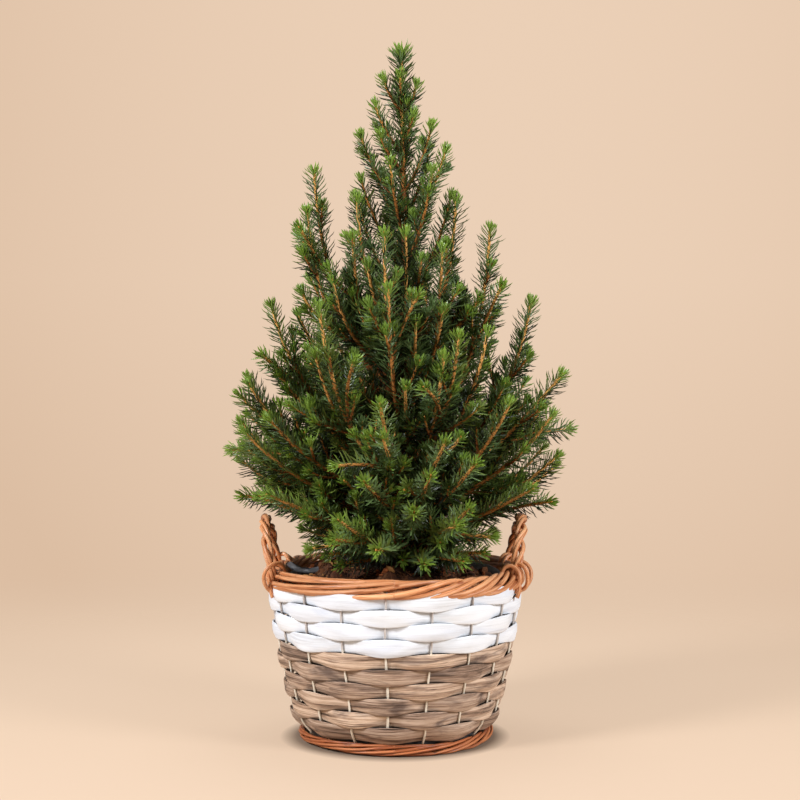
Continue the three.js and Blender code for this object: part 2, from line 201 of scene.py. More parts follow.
@dataclass
class Fabric:
    """Points and faces of one piece, gathered from several surfaces before it becomes a mesh."""

    name: str
    points: list[Floats] = field(default_factory=list)
    faces: list[Whole] = field(default_factory=list)
    runs: list[Floats] = field(default_factory=list)
    tones: list[Floats] = field(default_factory=list)
    count: int = 0

    def add(self, points: Floats, faces: Sequence[Whole], run: Floats | None = None,
            tone: Value = 0.5) -> None:
        """Adds a surface.

        Args:
            points: Its points, one a row.
            faces: Arrays of faces, each with the same number of corners, counted from its points.
            run: Where each point lies in the grain of its strip or rod, or else its own place.
            tone: How light the finish is at each point, from 0 to 1, or one value for all.
        """
        self.points.append(points)
        self.faces.extend(np.asarray(some) + self.count for some in faces)
        self.runs.append(points if run is None else run)
        self.tones.append(np.broadcast_to(np.asarray(tone, float), (len(points),)))
        self.count += len(points)

    def rod(self, path: Floats, radius: Value, across: Floats, sides: int, rng: Rng | None = None,
            tone: float | Span | Rule = 0.5, closed: bool = False, relief: Rule | None = None) -> None:
        """Adds a round rod along a path, with shut ends.

        At each point of the path, with direction T, N is `across` less its share along T and B is
        T x N. The point at angle a is path + radius (cos a N + sin a B).

        Args:
            path: Points of the middle line.
            radius: The rod's radius, at each point or everywhere.
            across: A direction that the path never runs along, one or one for each point.
            sides: Points round the rod.
            rng: Source of chance for where its grain starts, which without it is at the rod's start.
            tone: Its tone, the span to draw that from, or a rule that gets points and grain places.
            closed: Whether the path joins its own start.
            relief: Gets points and their angles and gives factors on the radius.
        """
        along = headings(path, closed)
        across = np.broadcast_to(across, path.shape)
        side = unit(across - (across * along).sum(1, keepdims=True) * along)
        angle, reach = full_turn(sides), run_lengths(path)
        radius = np.broadcast_to(np.asarray(radius, float), (len(path),))[:, None]
        spokes = wheel(angle[None], side[:, None], np.cross(along, side)[:, None])
        run = np.broadcast_arrays(reach[:, None], radius * np.cos(angle), radius * np.sin(angle))
        run = np.stack(run, axis=-1).reshape(-1, 3)
        points = path[:, None] + radius[:, :, None] * spokes
        if relief is not None:
            factor = relief(points.reshape(-1, 3), np.tile(angle, len(path))).reshape(len(path), sides)
            points = path[:, None] + (radius * factor)[:, :, None] * spokes
        if closed:
            points, faces = points.reshape(-1, 3), [sheet_faces(len(path), sides, ring=True, loop=True)]
        else:
            points, faces = shell(points, path[0], path[-1])
            run = np.concatenate([run, [[0, 0, 0], [reach[-1], 0, 0]]])
        start = 0 if rng is None else rng.uniform(0, 3)
        if isinstance(tone, tuple):
            tone = rng.uniform(*tone)
        elif callable(tone):
            tone = tone(points, run)
        self.add(points, faces, run + [start, 0, 0], tone)

    def piece(self, finish: Material, slot: str, *nodes: str, smooth: bool = True) -> None:
        """Makes the mesh, dresses it and lets it ride with the plant.

        Args:
            finish: The material.
            slot: The record's material slot; not used.
            *nodes: CAD nodes that the piece stands for.
            smooth: Whether its faces are shaded as one curved surface.
        """
        points = np.concatenate(self.points)
        corners = np.concatenate([some.ravel() for some in self.faces])
        widths = np.concatenate([np.full(len(some), some.shape[1]) for some in self.faces])
        mesh = bpy.data.meshes.new(self.name)
        mesh.vertices.add(len(points))
        mesh.vertices.foreach_set("co", points.astype(np.float32).ravel())
        mesh.loops.add(len(corners))
        mesh.loops.foreach_set("vertex_index", corners.astype(np.int32))
        mesh.polygons.add(len(widths))
        mesh.polygons.foreach_set("loop_start", (np.cumsum(widths) - widths).astype(np.int32))
        mesh.polygons.foreach_set("use_smooth", np.full(len(widths), smooth))
        mesh.update(calc_edges=True)
        for label, kind, part, values in (("run", "FLOAT_VECTOR", "vector", self.runs),
                                          ("tone", "FLOAT", "value", self.tones)):
            own = mesh.attributes.new(label, kind, "POINT")
            own.data.foreach_set(part, np.concatenate(values).astype(np.float32).ravel())
        mesh.materials.append(finish)
        made = bpy.data.objects.new(self.name, mesh)
        bpy.context.scene.collection.objects.link(made)
        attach(made, "root")
        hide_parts(*nodes)
        log.info("%s: %d triangles", self.name, (widths - 2).sum())


# Finishes


class Nodes:
    """The nodes of a material or of the world, put together link by link."""

    def __init__(self, tree: bpy.types.NodeTree) -> None:
        """Starts from the nodes that are there."""
        self.tree = tree

    def join(self, value: object, socket: Socket) -> None:
        """Links a socket to a socket that feeds it, or sets it to a plain value."""
        if isinstance(value, Socket):
            self.tree.links.new(value, socket)
        else:
            socket.default_value = value

    def node(self, kind: str, inputs: dict[str | int, object], **settings: object) -> bpy.types.Node:
        """Adds a node.

        Args:
            kind: The node's type without its ShaderNode prefix.
            inputs: Values or sockets for its inputs, by label or number.
            **settings: The node's own settings.

        Returns:
            The node.
        """
        made = self.tree.nodes.new("ShaderNode" + kind)
        for name, value in settings.items():
            setattr(made, name, value)
        for label, value in inputs.items():
            self.join(value, made.inputs[label])
        return made

    def ramp(self, amount: Socket, *stops: tuple[float, Colour]) -> Socket:
        """Turns an amount into a colour by way of the given stops."""
        made = self.node("ValToRGB", {"Fac": amount})
        band = made.color_ramp.elements
        while len(band) < len(stops):
            band.new(0.5)
        for element, (place, colour) in zip(band, stops):
            element.position, element.color = place, colour
        return made.outputs["Color"]

    def between(self, amount: Socket, low: float, high: float, to_low: float = 0.0, to_high: float = 1.0,
                **settings: object) -> Socket:
        """Carries the band from low to high over to another band, and holds it at its ends."""
        return self.node("MapRange", {"Value": amount, "From Min": low, "From Max": high, "To Min": to_low,
                                      "To Max": to_high}, **settings).outputs["Result"]


class Recipe(Nodes):
    """A material's nodes round one surface shader."""

    def __init__(self, name: str, roughness: float, specular: float = 0.5) -> None:
        """Starts a material.

        Args:
            name: The material's name.
            roughness: How matt the surface is.
            specular: How strongly it mirrors, 0.5 being common.
        """
        self.material = bpy.data.materials.new(name)
        self.material.use_nodes = True
        super().__init__(self.material.node_tree)
        self.shader = self.tree.nodes["Principled BSDF"]
        self.shader.inputs["Roughness"].default_value = roughness
        self.shader.inputs["Specular IOR Level"].default_value = specular

    def own(self, name: str, output: str = "Fac") -> Socket:
        """The socket of one of the piece's own attributes."""
        return self.node("Attribute", {}, attribute_name=name).outputs[output]

    def run(self) -> Socket:
        """The socket with the place in the grain of the piece's strip or rod."""
        return self.own("run", "Vector")

    def place(self) -> Socket:
        """The socket with the surface's place in the frame."""
        return self.node("TexCoord", {}).outputs["Object"]

    def noise(self, vector: Socket, stretch: tuple[float, float, float], detail: float = 4.0,
              rough: float = 0.55, warp: float = 0.0) -> Socket:
        """Cloudy noise near 0.5, of `stretch` blots to a metre in each direction, bent by warp."""
        grid = self.node("Mapping", {"Vector": vector, "Scale": stretch}).outputs["Vector"]
        return self.node("TexNoise", {"Vector": grid, "Scale": 1.0, "Detail": detail, "Roughness": rough,
                                      "Distortion": warp}).outputs["Fac"]

    def blend(self, amount: Socket | float, first: object, second: object, way: str = "MIX") -> Socket:
        """Mixes an amount of the second colour, or of its socket, into the first."""
        return self.node("Mix", {0: amount, 6: first, 7: second}, data_type="RGBA", blend_type=way).outputs[2]

    def toned(self, colour: Socket, *stops: tuple[float, Colour]) -> Socket:
        """Darkens a colour by way of the given stops of the piece's own tone."""
        return self.blend(1.0, colour, self.ramp(self.own("tone"), *stops), "MULTIPLY")

    def finish(self, colour: object, height: Socket | None = None, depth: float = 0.0,
               matt: Socket | None = None) -> Material:
        """Joins colour, relief and gloss to the shader.

        Args:
            colour: Base colour or its socket.
            height: Socket with the fine relief, 0 to 1.
            depth: How deep that relief is, in metres.
            matt: Socket with the roughness, where it varies.

        Returns:
            The material.
        """
        self.join(colour, self.shader.inputs["Base Color"])
        if height is not None:
            bump = self.node("Bump", {"Height": height, "Strength": 1.0, "Distance": depth})
            self.join(bump.outputs["Normal"], self.shader.inputs["Normal"])
        if matt is not None:
            self.join(matt, self.shader.inputs["Roughness"])
        return self.material


BRIGHTEST = tint(255, 252, 248)


@dataclass(frozen=True)
class StripWood:
    """Split wood in flat strips: fine grain along the strip and broad patches of weather or paint."""

    name: str
    light: Colour
    middle: Colour
    dark: Colour
    patch: Colour
    patchiness: float
    relief: float
    roughness: float
    dimmest: Colour

    def dress(self) -> Material:
        """Makes the material: grain and patches follow the strip, and each length has its own tone."""
        wood = Recipe(self.name, self.roughness, 0.35)
        run = wood.run()
        grain = wood.noise(run, (45, 1500, 400), 6, 0.65)
        band = wood.noise(run, (14, 230, 80), 4, 0.6, 0.6)
        colour = wood.ramp(wood.blend(0.45, band, grain),
                           (0.38, self.dark), (0.47, self.middle), (0.58, self.light))
        cloud = wood.between(wood.noise(run, (26, 75, 60), 3, 0.6, 1.2), 0.5, 0.68, 0.0, self.patchiness)
        colour = wood.blend(cloud, colour, self.patch, "MULTIPLY")
        colour = wood.toned(colour, (0.0, self.dimmest), (1.0, tint(255, 254, 252)))
        return wood.finish(colour, wood.blend(0.6, band, grain), self.relief)


@dataclass(frozen=True)
class PeeledRod:
    """Peeled willow: a satin skin with darker streaks that run along the rod."""

    name: str
    light: Colour
    middle: Colour
    dark: Colour
    roughness: float

    def dress(self) -> Material:
        """Makes the material: streaks follow the rod, and each rod has its own tone."""
        rod = Recipe(self.name, self.roughness, 0.5)
        run = rod.run()
        streak = rod.noise(run, (30, 520, 520), 5, 0.6, 0.4)
        mixed = rod.blend(0.3, streak, rod.noise(run, (110, 2200, 2200), 3, 0.6))
        colour = rod.ramp(mixed, (0.34, self.dark), (0.46, self.middle), (0.6, self.light))
        colour = rod.toned(colour, (0.0, tint(196, 178, 166)), (1.0, BRIGHTEST))
        knot = rod.between(rod.noise(run, (70, 160, 160), 2, 0.5), 0.68, 0.76)
        matt = rod.between(streak, 0.3, 0.7, self.roughness - 0.08, self.roughness + 0.14)
        return rod.finish(rod.blend(knot, colour, self.dark), mixed, 0.0004, matt)


@dataclass(frozen=True)
class SplitCane:
    """Pale split cane, greyed by paint where its tone is high."""

    def dress(self) -> Material:
        """Makes the material."""
        cane = Recipe("split_cane", 0.5, 0.45)
        fibre = cane.noise(cane.run(), (60, 2600, 2600), 4, 0.6)
        bare = cane.ramp(fibre, (0.36, tint(176, 158, 132)), (0.5, tint(222, 210, 190)),
                         (0.66, tint(243, 236, 222)))
        painted = cane.ramp(fibre, (0.36, tint(158, 146, 138)), (0.6, tint(208, 200, 194)))
        return cane.finish(cane.blend(cane.own("tone"), bare, painted), fibre, 0.0002)


@dataclass(frozen=True)
class PotPlastic:
    """Thin soft nursery pot: dark grey, slightly glossy, scuffed."""

    def dress(self) -> Material:
        """Makes the material."""
        pot = Recipe("pot_plastic", 0.38, 0.5)
        scuff = pot.noise(pot.place(), (160, 160, 420), 5, 0.6)
        colour = pot.ramp(scuff, (0.35, tint(58, 58, 60)), (0.7, tint(108, 107, 108)))
        return pot.finish(colour, scuff, 0.0004, pot.between(scuff, 0.3, 0.7, 0.28, 0.55))


@dataclass(frozen=True)
class Compost:
    """Moist coir and bark: dark crumbs with rusty fibres."""

    def dress(self) -> Material:
        """Makes the material."""
        bed = Recipe("compost", 0.9, 0.25)
        place = bed.place()
        crumb = bed.noise(place, (330, 330, 330), 8, 0.7)
        colour = bed.ramp(crumb, (0.35, tint(28, 15, 9)), (0.5, tint(70, 41, 24)), (0.68, tint(138, 90, 54)))
        patch = bed.between(bed.noise(place, (60, 60, 60), 3, 0.5), 0.5, 0.65, 0.0, 0.6)
        return bed.finish(bed.blend(patch, colour, tint(74, 38, 20)), crumb, 0.0012)


@dataclass(frozen=True)
class Bark:
    """Thin rough bark, red-brown with scaly plates."""

    name: str
    light: Colour
    dark: Colour
    scale: float

    def dress(self) -> Material:
        """Makes the material."""
        bark = Recipe(self.name, 0.82, 0.3)
        run = bark.run()
        plate = bark.noise(run, (180 * self.scale, 420 * self.scale, 420 * self.scale), 6, 0.65, 0.8)
        fine = bark.noise(run, (900 * self.scale, 1600 * self.scale, 1600 * self.scale), 4, 0.6)
        mixed = bark.blend(0.35, plate, fine)
        colour = bark.toned(bark.ramp(mixed, (0.36, self.dark), (0.6, self.light)),
                            (0.0, tint(132, 98, 74)), (0.6, tint(202, 176, 152)), (1.0, BRIGHTEST))
        return bark.finish(colour, mixed, 0.0008)


@dataclass(frozen=True)
class RoughBoard:
    """Plain weathered board under the basket, with grain across it."""

    def dress(self) -> Material:
        """Makes the material."""
        board = Recipe("rough_board", 0.75, 0.3)
        grain = board.noise(board.place(), (30, 700, 120), 6, 0.65, 0.3)
        colour = board.ramp(grain, (0.35, tint(104, 80, 60)), (0.65, tint(160, 128, 98)))
        return board.finish(colour, grain, 0.0005)


@dataclass(frozen=True)
class Plain:
    """One even colour, for shapes too small to show a pattern."""

    name: str
    colour: Colour
    roughness: float
    specular: float = 0.4

    def dress(self) -> Material:
        """Makes the material."""
        return Recipe(self.name, self.roughness, self.specular).finish(self.colour)


class NeedleTone(Enum):
    """The plain colours that are dealt out to the needles by spray, from the deepest to the freshest. The
    deeper ones are painted shade inside the crown and under the sprays, and a lighter one is painted light on
    their tops.
    """

    SHADE = Plain("needle_shade", tint(15, 21, 5), 0.45)
    DEEP = Plain("needle_deep", tint(35, 47, 13), 0.42)
    SPRUCE = Plain("needle_spruce", tint(59, 76, 28), 0.4)
    BLUISH = Plain("needle_bluish", tint(92, 114, 66), 0.4)
    MOSS = Plain("needle_moss", tint(100, 117, 49), 0.4)
    LEAF = Plain("needle_leaf", tint(111, 136, 54), 0.4)
    FRESH = Plain("needle_fresh", tint(107, 135, 47), 0.36)
    TIP = Plain("needle_tip", tint(118, 145, 51), 0.36)


# The basket


@dataclass(frozen=True)
class WallLines:
    """The sizes that the pieces of the basket's wall share."""

    rows: int = 10
    painted_rows: int = 4
    bottom: float = 11.2 * MM
    pitch: float = 11.0 * MM
    radius: float = 74.9 * MM
    flare: float = 0.1833
    stakes: int = 18
    first_stake: float = math.radians(-3.9)
    front_spread: float = 0.03
    belly: float = 2.3 * MM
    curl_height: float = 21 * MM
    curl: float = 3.6 * MM

    def radius_at(self, height: Value) -> Value:
        """The radius of the middle of the wall at a height: a cone with a belly that curls in low down.

        The belly adds its size times half a wave over the wall's height. Below curl_height the radius
        is less by curl times the square of the share gone down to the bottom.
        """
        low = np.maximum(self.curl_height - height, 0) / (self.curl_height - self.bottom)
        share = gone(height, self.bottom, self.rows * self.pitch)
        cone = self.radius + self.flare * (height - self.bottom)
        return cone + self.belly * np.sin(np.pi * share) - self.curl * low**2

    def settled(self, even: Value) -> Value:
        """The real angle of a place whose angle would be `even` with all stakes evenly spread."""
        return even + self.front_spread * np.sin(even)

    def row_edge(self, row: float) -> float:
        """The height of a row's lower edge, and with half a row more of its middle."""
        return self.bottom + row * self.pitch


def around(angle: Floats, radius: Value, height: Value) -> Floats:
    """Points at angles from the front, at a radius and a height."""
    return np.stack(np.broadcast_arrays(radius * np.sin(angle), -radius * np.cos(angle), height), axis=-1)


@dataclass
class WovenWall:
    """Ten rows of wood strip, each passing outside and inside the stakes by turns."""

    lines: WallLines
    wave: float = 2.05 * MM
    half_width: float = 5.4 * MM
    paint: float = 0.15 * MM
    swell: float = 1.3 * MM
    pinch: float = 0.6 * MM
    lift: float = 0.2 * MM
    drift: float = 0.25 * MM
    top_rise: float = 0.4 * MM
    low_drop: float = -0.9 * MM
    thickness: float = 1.3 * MM
    crown: float = 0.5 * MM
    ridge: float = 0.35 * MM
    low_ridge: float = 0.77 * MM
    dent: float = 0.35 * MM
    steps: int = 24
    section: int = 18
    seed: int = 11

    def strip(self, row: int) -> tuple[Floats, list[Whole], Floats, Floats]:
        """One row of strip as a closed band.

        With c = +-cos(9 (angle - first stake)), 1 where the strip is outside a stake, the band's
        middle swings by wave c, its half-width is half_width + swell c above 0 and less pinch |c|
        below 0, and it sits higher by lift |c| where it is inside. Its section is a flat oval with a
        crowned outer face and a low ridge along it. The grain starts anew behind each stake.

        Args:
            row: Which row, 0 being the lowest.

        Returns:
            Points, faces, grain coordinates and tones.
        """
        rng = np.random.default_rng(self.seed + row)
        lines = self.lines
        even = full_turn(lines.stakes * self.steps)
        periods = lines.stakes // 2
        phase = periods * (even - lines.first_stake) + row % 2 * np.pi
        length = np.round(phase / (2 * np.pi)).astype(int) % periods

        def dealt(low: float, high: float) -> Floats:
            """A value for each length of strip, drawn by chance."""
            return rng.uniform(low, high, periods)[length][:, None]

        c = np.cos(phase)[:, None]
        out, inside = np.maximum(c, 0), np.maximum(-c, 0)
        swell = self.swell * dealt(0.75, 1.2) * out**1.15
        rise = self.top_rise if row == lines.rows - 1 else self.low_drop if row == 0 else 0.0
        paint = self.paint if row >= lines.rows - lines.painted_rows else 0.0
        half = self.half_width + paint + abs(rise) + swell - self.pinch * inside
        drift = self.drift * sway(even, 2, rng)[:, None] * out
        middle = lines.row_edge(row + 0.5) + rise + self.lift * inside**1.4 + drift
        tilt = dealt(-0.05, 0.09) * out
        turn = full_turn(self.section)
        across = np.sign(np.sin(turn)) * np.abs(np.sin(turn)) ** 0.8
        depth = np.sign(np.cos(turn)) * np.abs(np.cos(turn)) ** 0.5
        up = half * across
        fold = dealt(-0.35, 0.35) * out
        ridge = (self.ridge if row else self.low_ridge) * out * np.maximum(1 - np.abs(across - fold) * 2.2, 0)
        proud = self.thickness / 2 * depth + (self.crown * (1 - across**2) + ridge) * (depth > 0)
        spots = np.stack(np.broadcast_arrays(even[:, None] * lines.radius, up * 3, 0), axis=-1)
        dents = self.dent * Roughness(0.02, self.seed + 50 + row).at(spots)
        height = middle + up
        radius = lines.radius_at(height) + self.wave * c + proud + tilt * up + dents
        points = around(lines.settled(even)[:, None], radius, height)
        own_place = ((phase + np.pi) % (2 * np.pi) - np.pi)[:, None] / periods * lines.radius
        run = np.stack(np.broadcast_arrays(own_place + dealt(0, 3), up + 0.05 * row, proud), axis=-1)
        tone = np.broadcast_to(dealt(0.15, 1.0) * (1 if row else 0.25), radius.shape)
        faces = [sheet_faces(len(even), self.section, ring=True, loop=True)]
        return points.reshape(-1, 3), faces, run.reshape(-1, 3), tone.ravel()

    def build(self) -> None:
        """Makes the weathered rows and the painted rows, each kind one piece."""
        rows, bare = self.lines.rows, self.lines.rows - self.lines.painted_rows
        weathered = StripWood("weathered_strip", tint(230, 203, 178), tint(176, 145, 121), tint(72, 54, 42),
                              tint(140, 136, 142), 0.9, 0.001, 0.55, tint(206, 203, 204))
        painted = StripWood("painted_strip", tint(237, 241, 246), tint(231, 235, 240), tint(213, 215, 219),
                            tint(238, 240, 247), 0.5, 0.0004, 0.45, tint(243, 243, 245))
        for name, finish, slot, chosen in (("weathered_rows", weathered, "strip_grey", range(bare)),
                                           ("painted_rows", painted, "strip_white", range(bare, rows))):
            band = Fabric(name)
            for row in chosen:
                band.add(*self.strip(row))
            band.piece(finish.dress(), slot, *[f"row_{row + 1:02d}" for row in chosen])


@dataclass
class CaneStakes:
    """The upright stakes, from the foot ring to the rim, leaning inward over the lowest row."""

    lines: WallLines
    radius: float = 0.85 * MM
    foot: Span = (67.6 * MM, 6.0 * MM)
    head: Span = (89.6 * MM, 122.5 * MM)
    sway: float = 0.7 * MM

    def build(self) -> None:
        """Makes all stakes as one piece: straight up the wall, drawn in at both ends."""
        lines = self.lines
        heights = np.linspace(lines.bottom - 1.2 * MM, lines.row_edge(lines.rows) - 2 * MM, 30)
        heights = np.concatenate([[self.foot[1]], heights, [self.head[1]]])
        radii = lines.radius_at(heights)
        radii[0], radii[-1] = self.foot[0], self.head[0]
        painted = lines.row_edge(lines.rows - lines.painted_rows) + MM
        cage = Fabric("cane_stakes")
        rng = np.random.default_rng(5)
        for angle in lines.settled(lines.first_stake + full_turn(lines.stakes)):
            path = around(angle + self.sway * sway(heights, 70, rng) / radii, radii, heights)
            cage.rod(path, self.radius * rng.uniform(0.92, 1.08), around(angle, 1.0, 0.0), 8, rng,
                     lambda points, run: points[:, 2] > painted)
        cage.piece(SplitCane().dress(), "cane", "stake_cage")


@dataclass
class RodRing:
    """A ring of willow rods twisted round one another."""

    name: str
    node: str
    radius: float
    height: float
    half_across: float
    half_up: float
    rod: float
    phases: tuple[float, ...]
    turns: int
    seed: int
    slack: float
    waves: int = 1
    slack_at: float = math.radians(225)
    wander: float = 0.2
    shear: float = 0.0
    left_thinner: float = 0.0

    def build(self, finish: Material) -> None:
        """Makes the ring as one piece.

        Each rod winds on an oval round a level middle line, `turns` times a lap. The winding runs
        ahead and behind by slack times a sine of the angle times waves, so that the rods slant up in
        one stretch and lie level or slant down in the next. The oval leans outward at its lower edge
        by shear, and it is smaller on the left by the share left_thinner.

        Args:
            finish: The rods' material.
        """
        ring = Fabric(self.name)
        rng = np.random.default_rng(self.seed)
        angle = full_turn(420)
        middle = around(angle, self.radius, self.height + 0.6 * MM * np.sin(3 * angle + self.seed))
        for phase in self.phases:
            wander = sway(angle, 2, rng) + 0.65 * sway(angle, 5, rng)
            swing = math.radians(phase) + self.turns * angle + self.wander * wander
            swing = swing + self.slack * np.sin(self.waves * angle + self.slack_at)
            depth = 1 + 0.06 * sway(angle, 3, rng) + 0.03 * sway(angle, 11, rng)
            depth = depth * (1 - self.left_thinner * np.maximum(-np.sin(angle + 0.2), 0))
            across = self.half_across * depth * np.cos(swing) - self.shear * np.sin(swing)
            path = middle + across[:, None] * around(angle, 1.0, 0.0)
            path += (self.half_up * depth * np.sin(swing))[:, None] * UP
            thick = self.rod * (rng.uniform(0.93, 1.07) + 0.07 * sway(angle, 2, rng))
            path[:, 2] = np.maximum(path[:, 2], thick + 0.05 * MM)
            ring.rod(path, thick, UP, 10, rng, (0.2, 1.0), closed=True)
        ring.piece(finish, "willow", self.node)


# The loops at a handle's foot, in millimetres: where along the rim, how far out from it, how far the
# loop reaches outward and upward from its middle, and how far it slants along the rim.
FOOT_LOOPS = ((-7.0, 2.6, 6.8, 8.8, 2.6), (0.6, 2.8, 7.0, 9.2, -1.8), (5.5, 6.0, 8.4, 11.2, 5.0),
              (1.4, 6.0, 8.8, 10.0, -3.0))


@dataclass
class LoopHandle:
    """A handle of twisted rods that springs from the rim, with loops that bind each foot to it."""

    side: int
    rim_radius: float = 90.2 * MM
    rim_height: float = 126 * MM
    bulge: float = 7 * MM
    half_span: float = 31 * MM
    sink: float = 3 * MM
    rise: float = 43.5 * MM
    fullness: float = 0.8
    rod: float = 1.7 * MM
    turns: float = 2.6
    phases: tuple[float, ...] = (0, 52, 178, 232)

    @property
    def reach(self) -> float:
        """How far out the feet stand."""
        return (90.5 - 1.5 * self.side) * MM

    @property
    def lay(self) -> float:
        """How far the rods wind from the middle line."""
        return (2.75 + 0.25 * self.side) * MM

    def strands(self, rope: Fabric, rng: Rng) -> None:
        """Adds two pairs of rods that wind round the arch.

        At swing t, from 0 to pi, the arch's x is reach + bulge sin t, its y is -half_span cos t, and
        its height over the sunken feet is rise times sin t to the power of fullness.

        Args:
            rope: The piece to add to.
            rng: Source of chance.
        """
        share = np.linspace(0, 1, 110)
        lift = np.maximum(np.sin(np.pi * share), 0)
        height = self.rim_height - self.sink + self.rise * lift**self.fullness
        reach = self.side * (self.reach + self.bulge * lift)
        middle = np.stack([reach, -self.half_span * np.cos(np.pi * share), height], axis=1)
        outward = np.array([float(self.side), 0.0, 0.0])
        along = headings(middle)
        first = unit(outward - (along @ outward)[:, None] * along)
        for phase in self.phases:
            swing = math.radians(phase + 40 * self.side) + 2 * np.pi * self.turns * share * self.side
            swing = swing + 0.25 * sway(share, 7, rng)
            loose = self.lay * (1 + 0.16 * sway(share, 5 * np.pi, rng))
            path = middle + loose[:, None] * wheel(swing, first, np.cross(along, first))
            rope.rod(path, self.rod * rng.uniform(0.9, 1.08), outward, 9, rng, (0.25, 0.95))

    def foot_loops(self, rope: Fabric, end: int, rng: Rng) -> None:
        """Adds the loops at one foot, and the rod's end that hangs from it.

        A loop is a closed oval in the plane of the rim's section, from shares of the outward
        direction and of the upright, and it slants along the rim by a sine of its own angle.

        Args:
            rope: The piece to add to.
            end: -1 for the front foot and 1 for the back foot.
            rng: Source of chance.
        """
        angle = math.atan2(self.side * self.reach, -end * self.half_span)
        outward = np.array([math.sin(angle), -math.cos(angle), 0.0])
        along = np.array([math.cos(angle), math.sin(angle), 0.0])
        centre = outward * self.rim_radius + UP * self.rim_height
        t = full_turn(56)
        loops = 2 if end > 0 else 3 if self.side < 0 else 4
        spread = (0.85 + 0.15 * self.side) * MM
        for offset, proud, wide, tall, slant in FOOT_LOOPS[:loops]:
            wobble = (1 + 0.05 * sway(t, 3, rng))[:, None] * MM
            path = (centre + outward * proud * MM + wobble * wheel(t, wide * outward, tall * UP)
                    + ((offset + slant * np.sin(t + 0.6)) * spread)[:, None] * along)
            rope.rod(path, self.rod * rng.uniform(0.82, 0.95), along, 9, rng, (0.25, 0.95), closed=True)
        aside = along * end * self.side * MM
        start = centre + outward * 8.4 * MM - UP * 4 * MM + aside * 1.5
        stop = start - UP * 11 * MM - outward * 1.2 * MM + aside * 2.5
        path = bend(start, lerp(start, stop, 0.5) + outward * 1.6 * MM, stop, 12)
        rope.rod(path, self.rod * 0.95, along, 9, rng, 0.4)

    def build(self, finish: Material) -> None:
        """Makes the handle as one piece."""
        rng = np.random.default_rng(40 + self.side)
        word = "left" if self.side < 0 else "right"
        rope = Fabric(f"rope_handle_{word}")
        self.strands(rope, rng)
        for end in (-1, 1):
            self.foot_loops(rope, end, rng)
        rope.piece(finish, "willow", f"handle_{word}")


@dataclass
class Basket:
    """The basket: wall, stakes, foot ring, rim, handles and the board under it."""

    lines: WallLines = field(default_factory=WallLines)

    def build(self) -> None:
        """Makes every piece of the basket."""
        WovenWall(self.lines).build()
        CaneStakes(self.lines).build()
        willow = PeeledRod("peeled_willow", tint(246, 188, 138), tint(220, 147, 95), tint(148, 80, 40), 0.4)
        willow = willow.dress()
        red = PeeledRod("red_willow", tint(206, 132, 82), tint(164, 88, 46), tint(70, 29, 10), 0.45)
        RodRing("twisted_rim", "rim", 91.6 * MM, 124.5 * MM, 5.0 * MM, 5.2 * MM, 1.82 * MM,
                (0, 44, 92, 134, 181, 226, 270, 315), turns=3, seed=21, slack=1.25, waves=2,
                slack_at=math.radians(-90), wander=0.1, shear=2.0 * MM).build(willow)
        RodRing("twisted_foot_ring", "foot_ring", 71.4 * MM, 4.5 * MM, 2.6 * MM, 3.2 * MM, 1.1 * MM,
                (0, 56, 108, 170, 232, 300), turns=4, seed=22, slack=1.4, wander=0.17,
                left_thinner=0.42).build(red.dress())
        for side in (-1, 1):
            LoopHandle(side).build(willow)
        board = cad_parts["base_disc"]
        board.data.materials.clear()
        board.data.materials.append(RoughBoard().dress())


# Pot and soil


@dataclass
class NurseryPot:
    """The thin soft pot inside the basket, with a lip that waves up and down."""

    floor: float = 5.3 * MM
    bottom: float = 65 * MM
    top: float = 82.4 * MM
    wall: float = 1.1 * MM
    height: float = 126 * MM
    dip: float = 4.5 * MM
    bead: float = 0.4 * MM
    ripple: float = 0.9 * MM
    draw_in: float = 0.5 * MM
    foot: float = 39 * MM
    fold: tuple[tuple[float, float, float], ...] = ((-82, 10, 131), (-66, -22, 122), (-46, 8, 133))

    def build(self) -> None:
        """Makes the pot as a turned shell with a fold of its lip that sags across the left side.

        Its profile runs out along the underside, up the outside, over the lip and down the inside.
        The lip is at height less dip times a sum of slow waves, and ripples push the wall in near it.
        The fold is a flat ribbon on its edge.
        """
        angle = full_turn(300)[None]
        wave = 0.5 - 0.32 * np.sin(angle + 0.5) - 0.18 * np.sin(3 * angle + 1.0) + 0.1 * np.sin(8 * angle)
        lip = self.height - self.dip * np.clip(wave, 0, 1)
        rise = np.linspace(0, 1, 22)[:, None]
        outer_h = self.floor + rise * (lip - self.floor)
        ripple = self.ripple * np.sin(7 * angle) * rise**6 - self.draw_in * rise**8
        outer_r = lerp(self.bottom, self.top, rise) + ripple
        inside = self.floor + self.wall
        profile = ((MM, self.floor), (self.foot, self.floor), (outer_r, outer_h),
                   (outer_r[-1:] - self.wall / 2, lip + self.bead),
                   (outer_r[::-1] - self.wall, outer_h[::-1] + self.wall * rise),
                   (self.foot, inside), (MM, inside))
        rings = [around(angle, radius, height) for radius, height in profile]
        pot = Fabric("soft_pot")
        pot.add(*shell(np.concatenate(rings), [0, 0, self.floor], [0, 0, inside]))
        pot.rod(bend(*np.array(self.fold) * MM, 26), self.wall * 0.5, np.array([0.0, -1.0, 0.35]), 12,
                relief=lambda points, angle: 1 / np.hypot(np.cos(angle), np.sin(angle) / 4.4))
        pot.piece(PotPlastic().dress(), "pot_plastic", "nursery_pot")


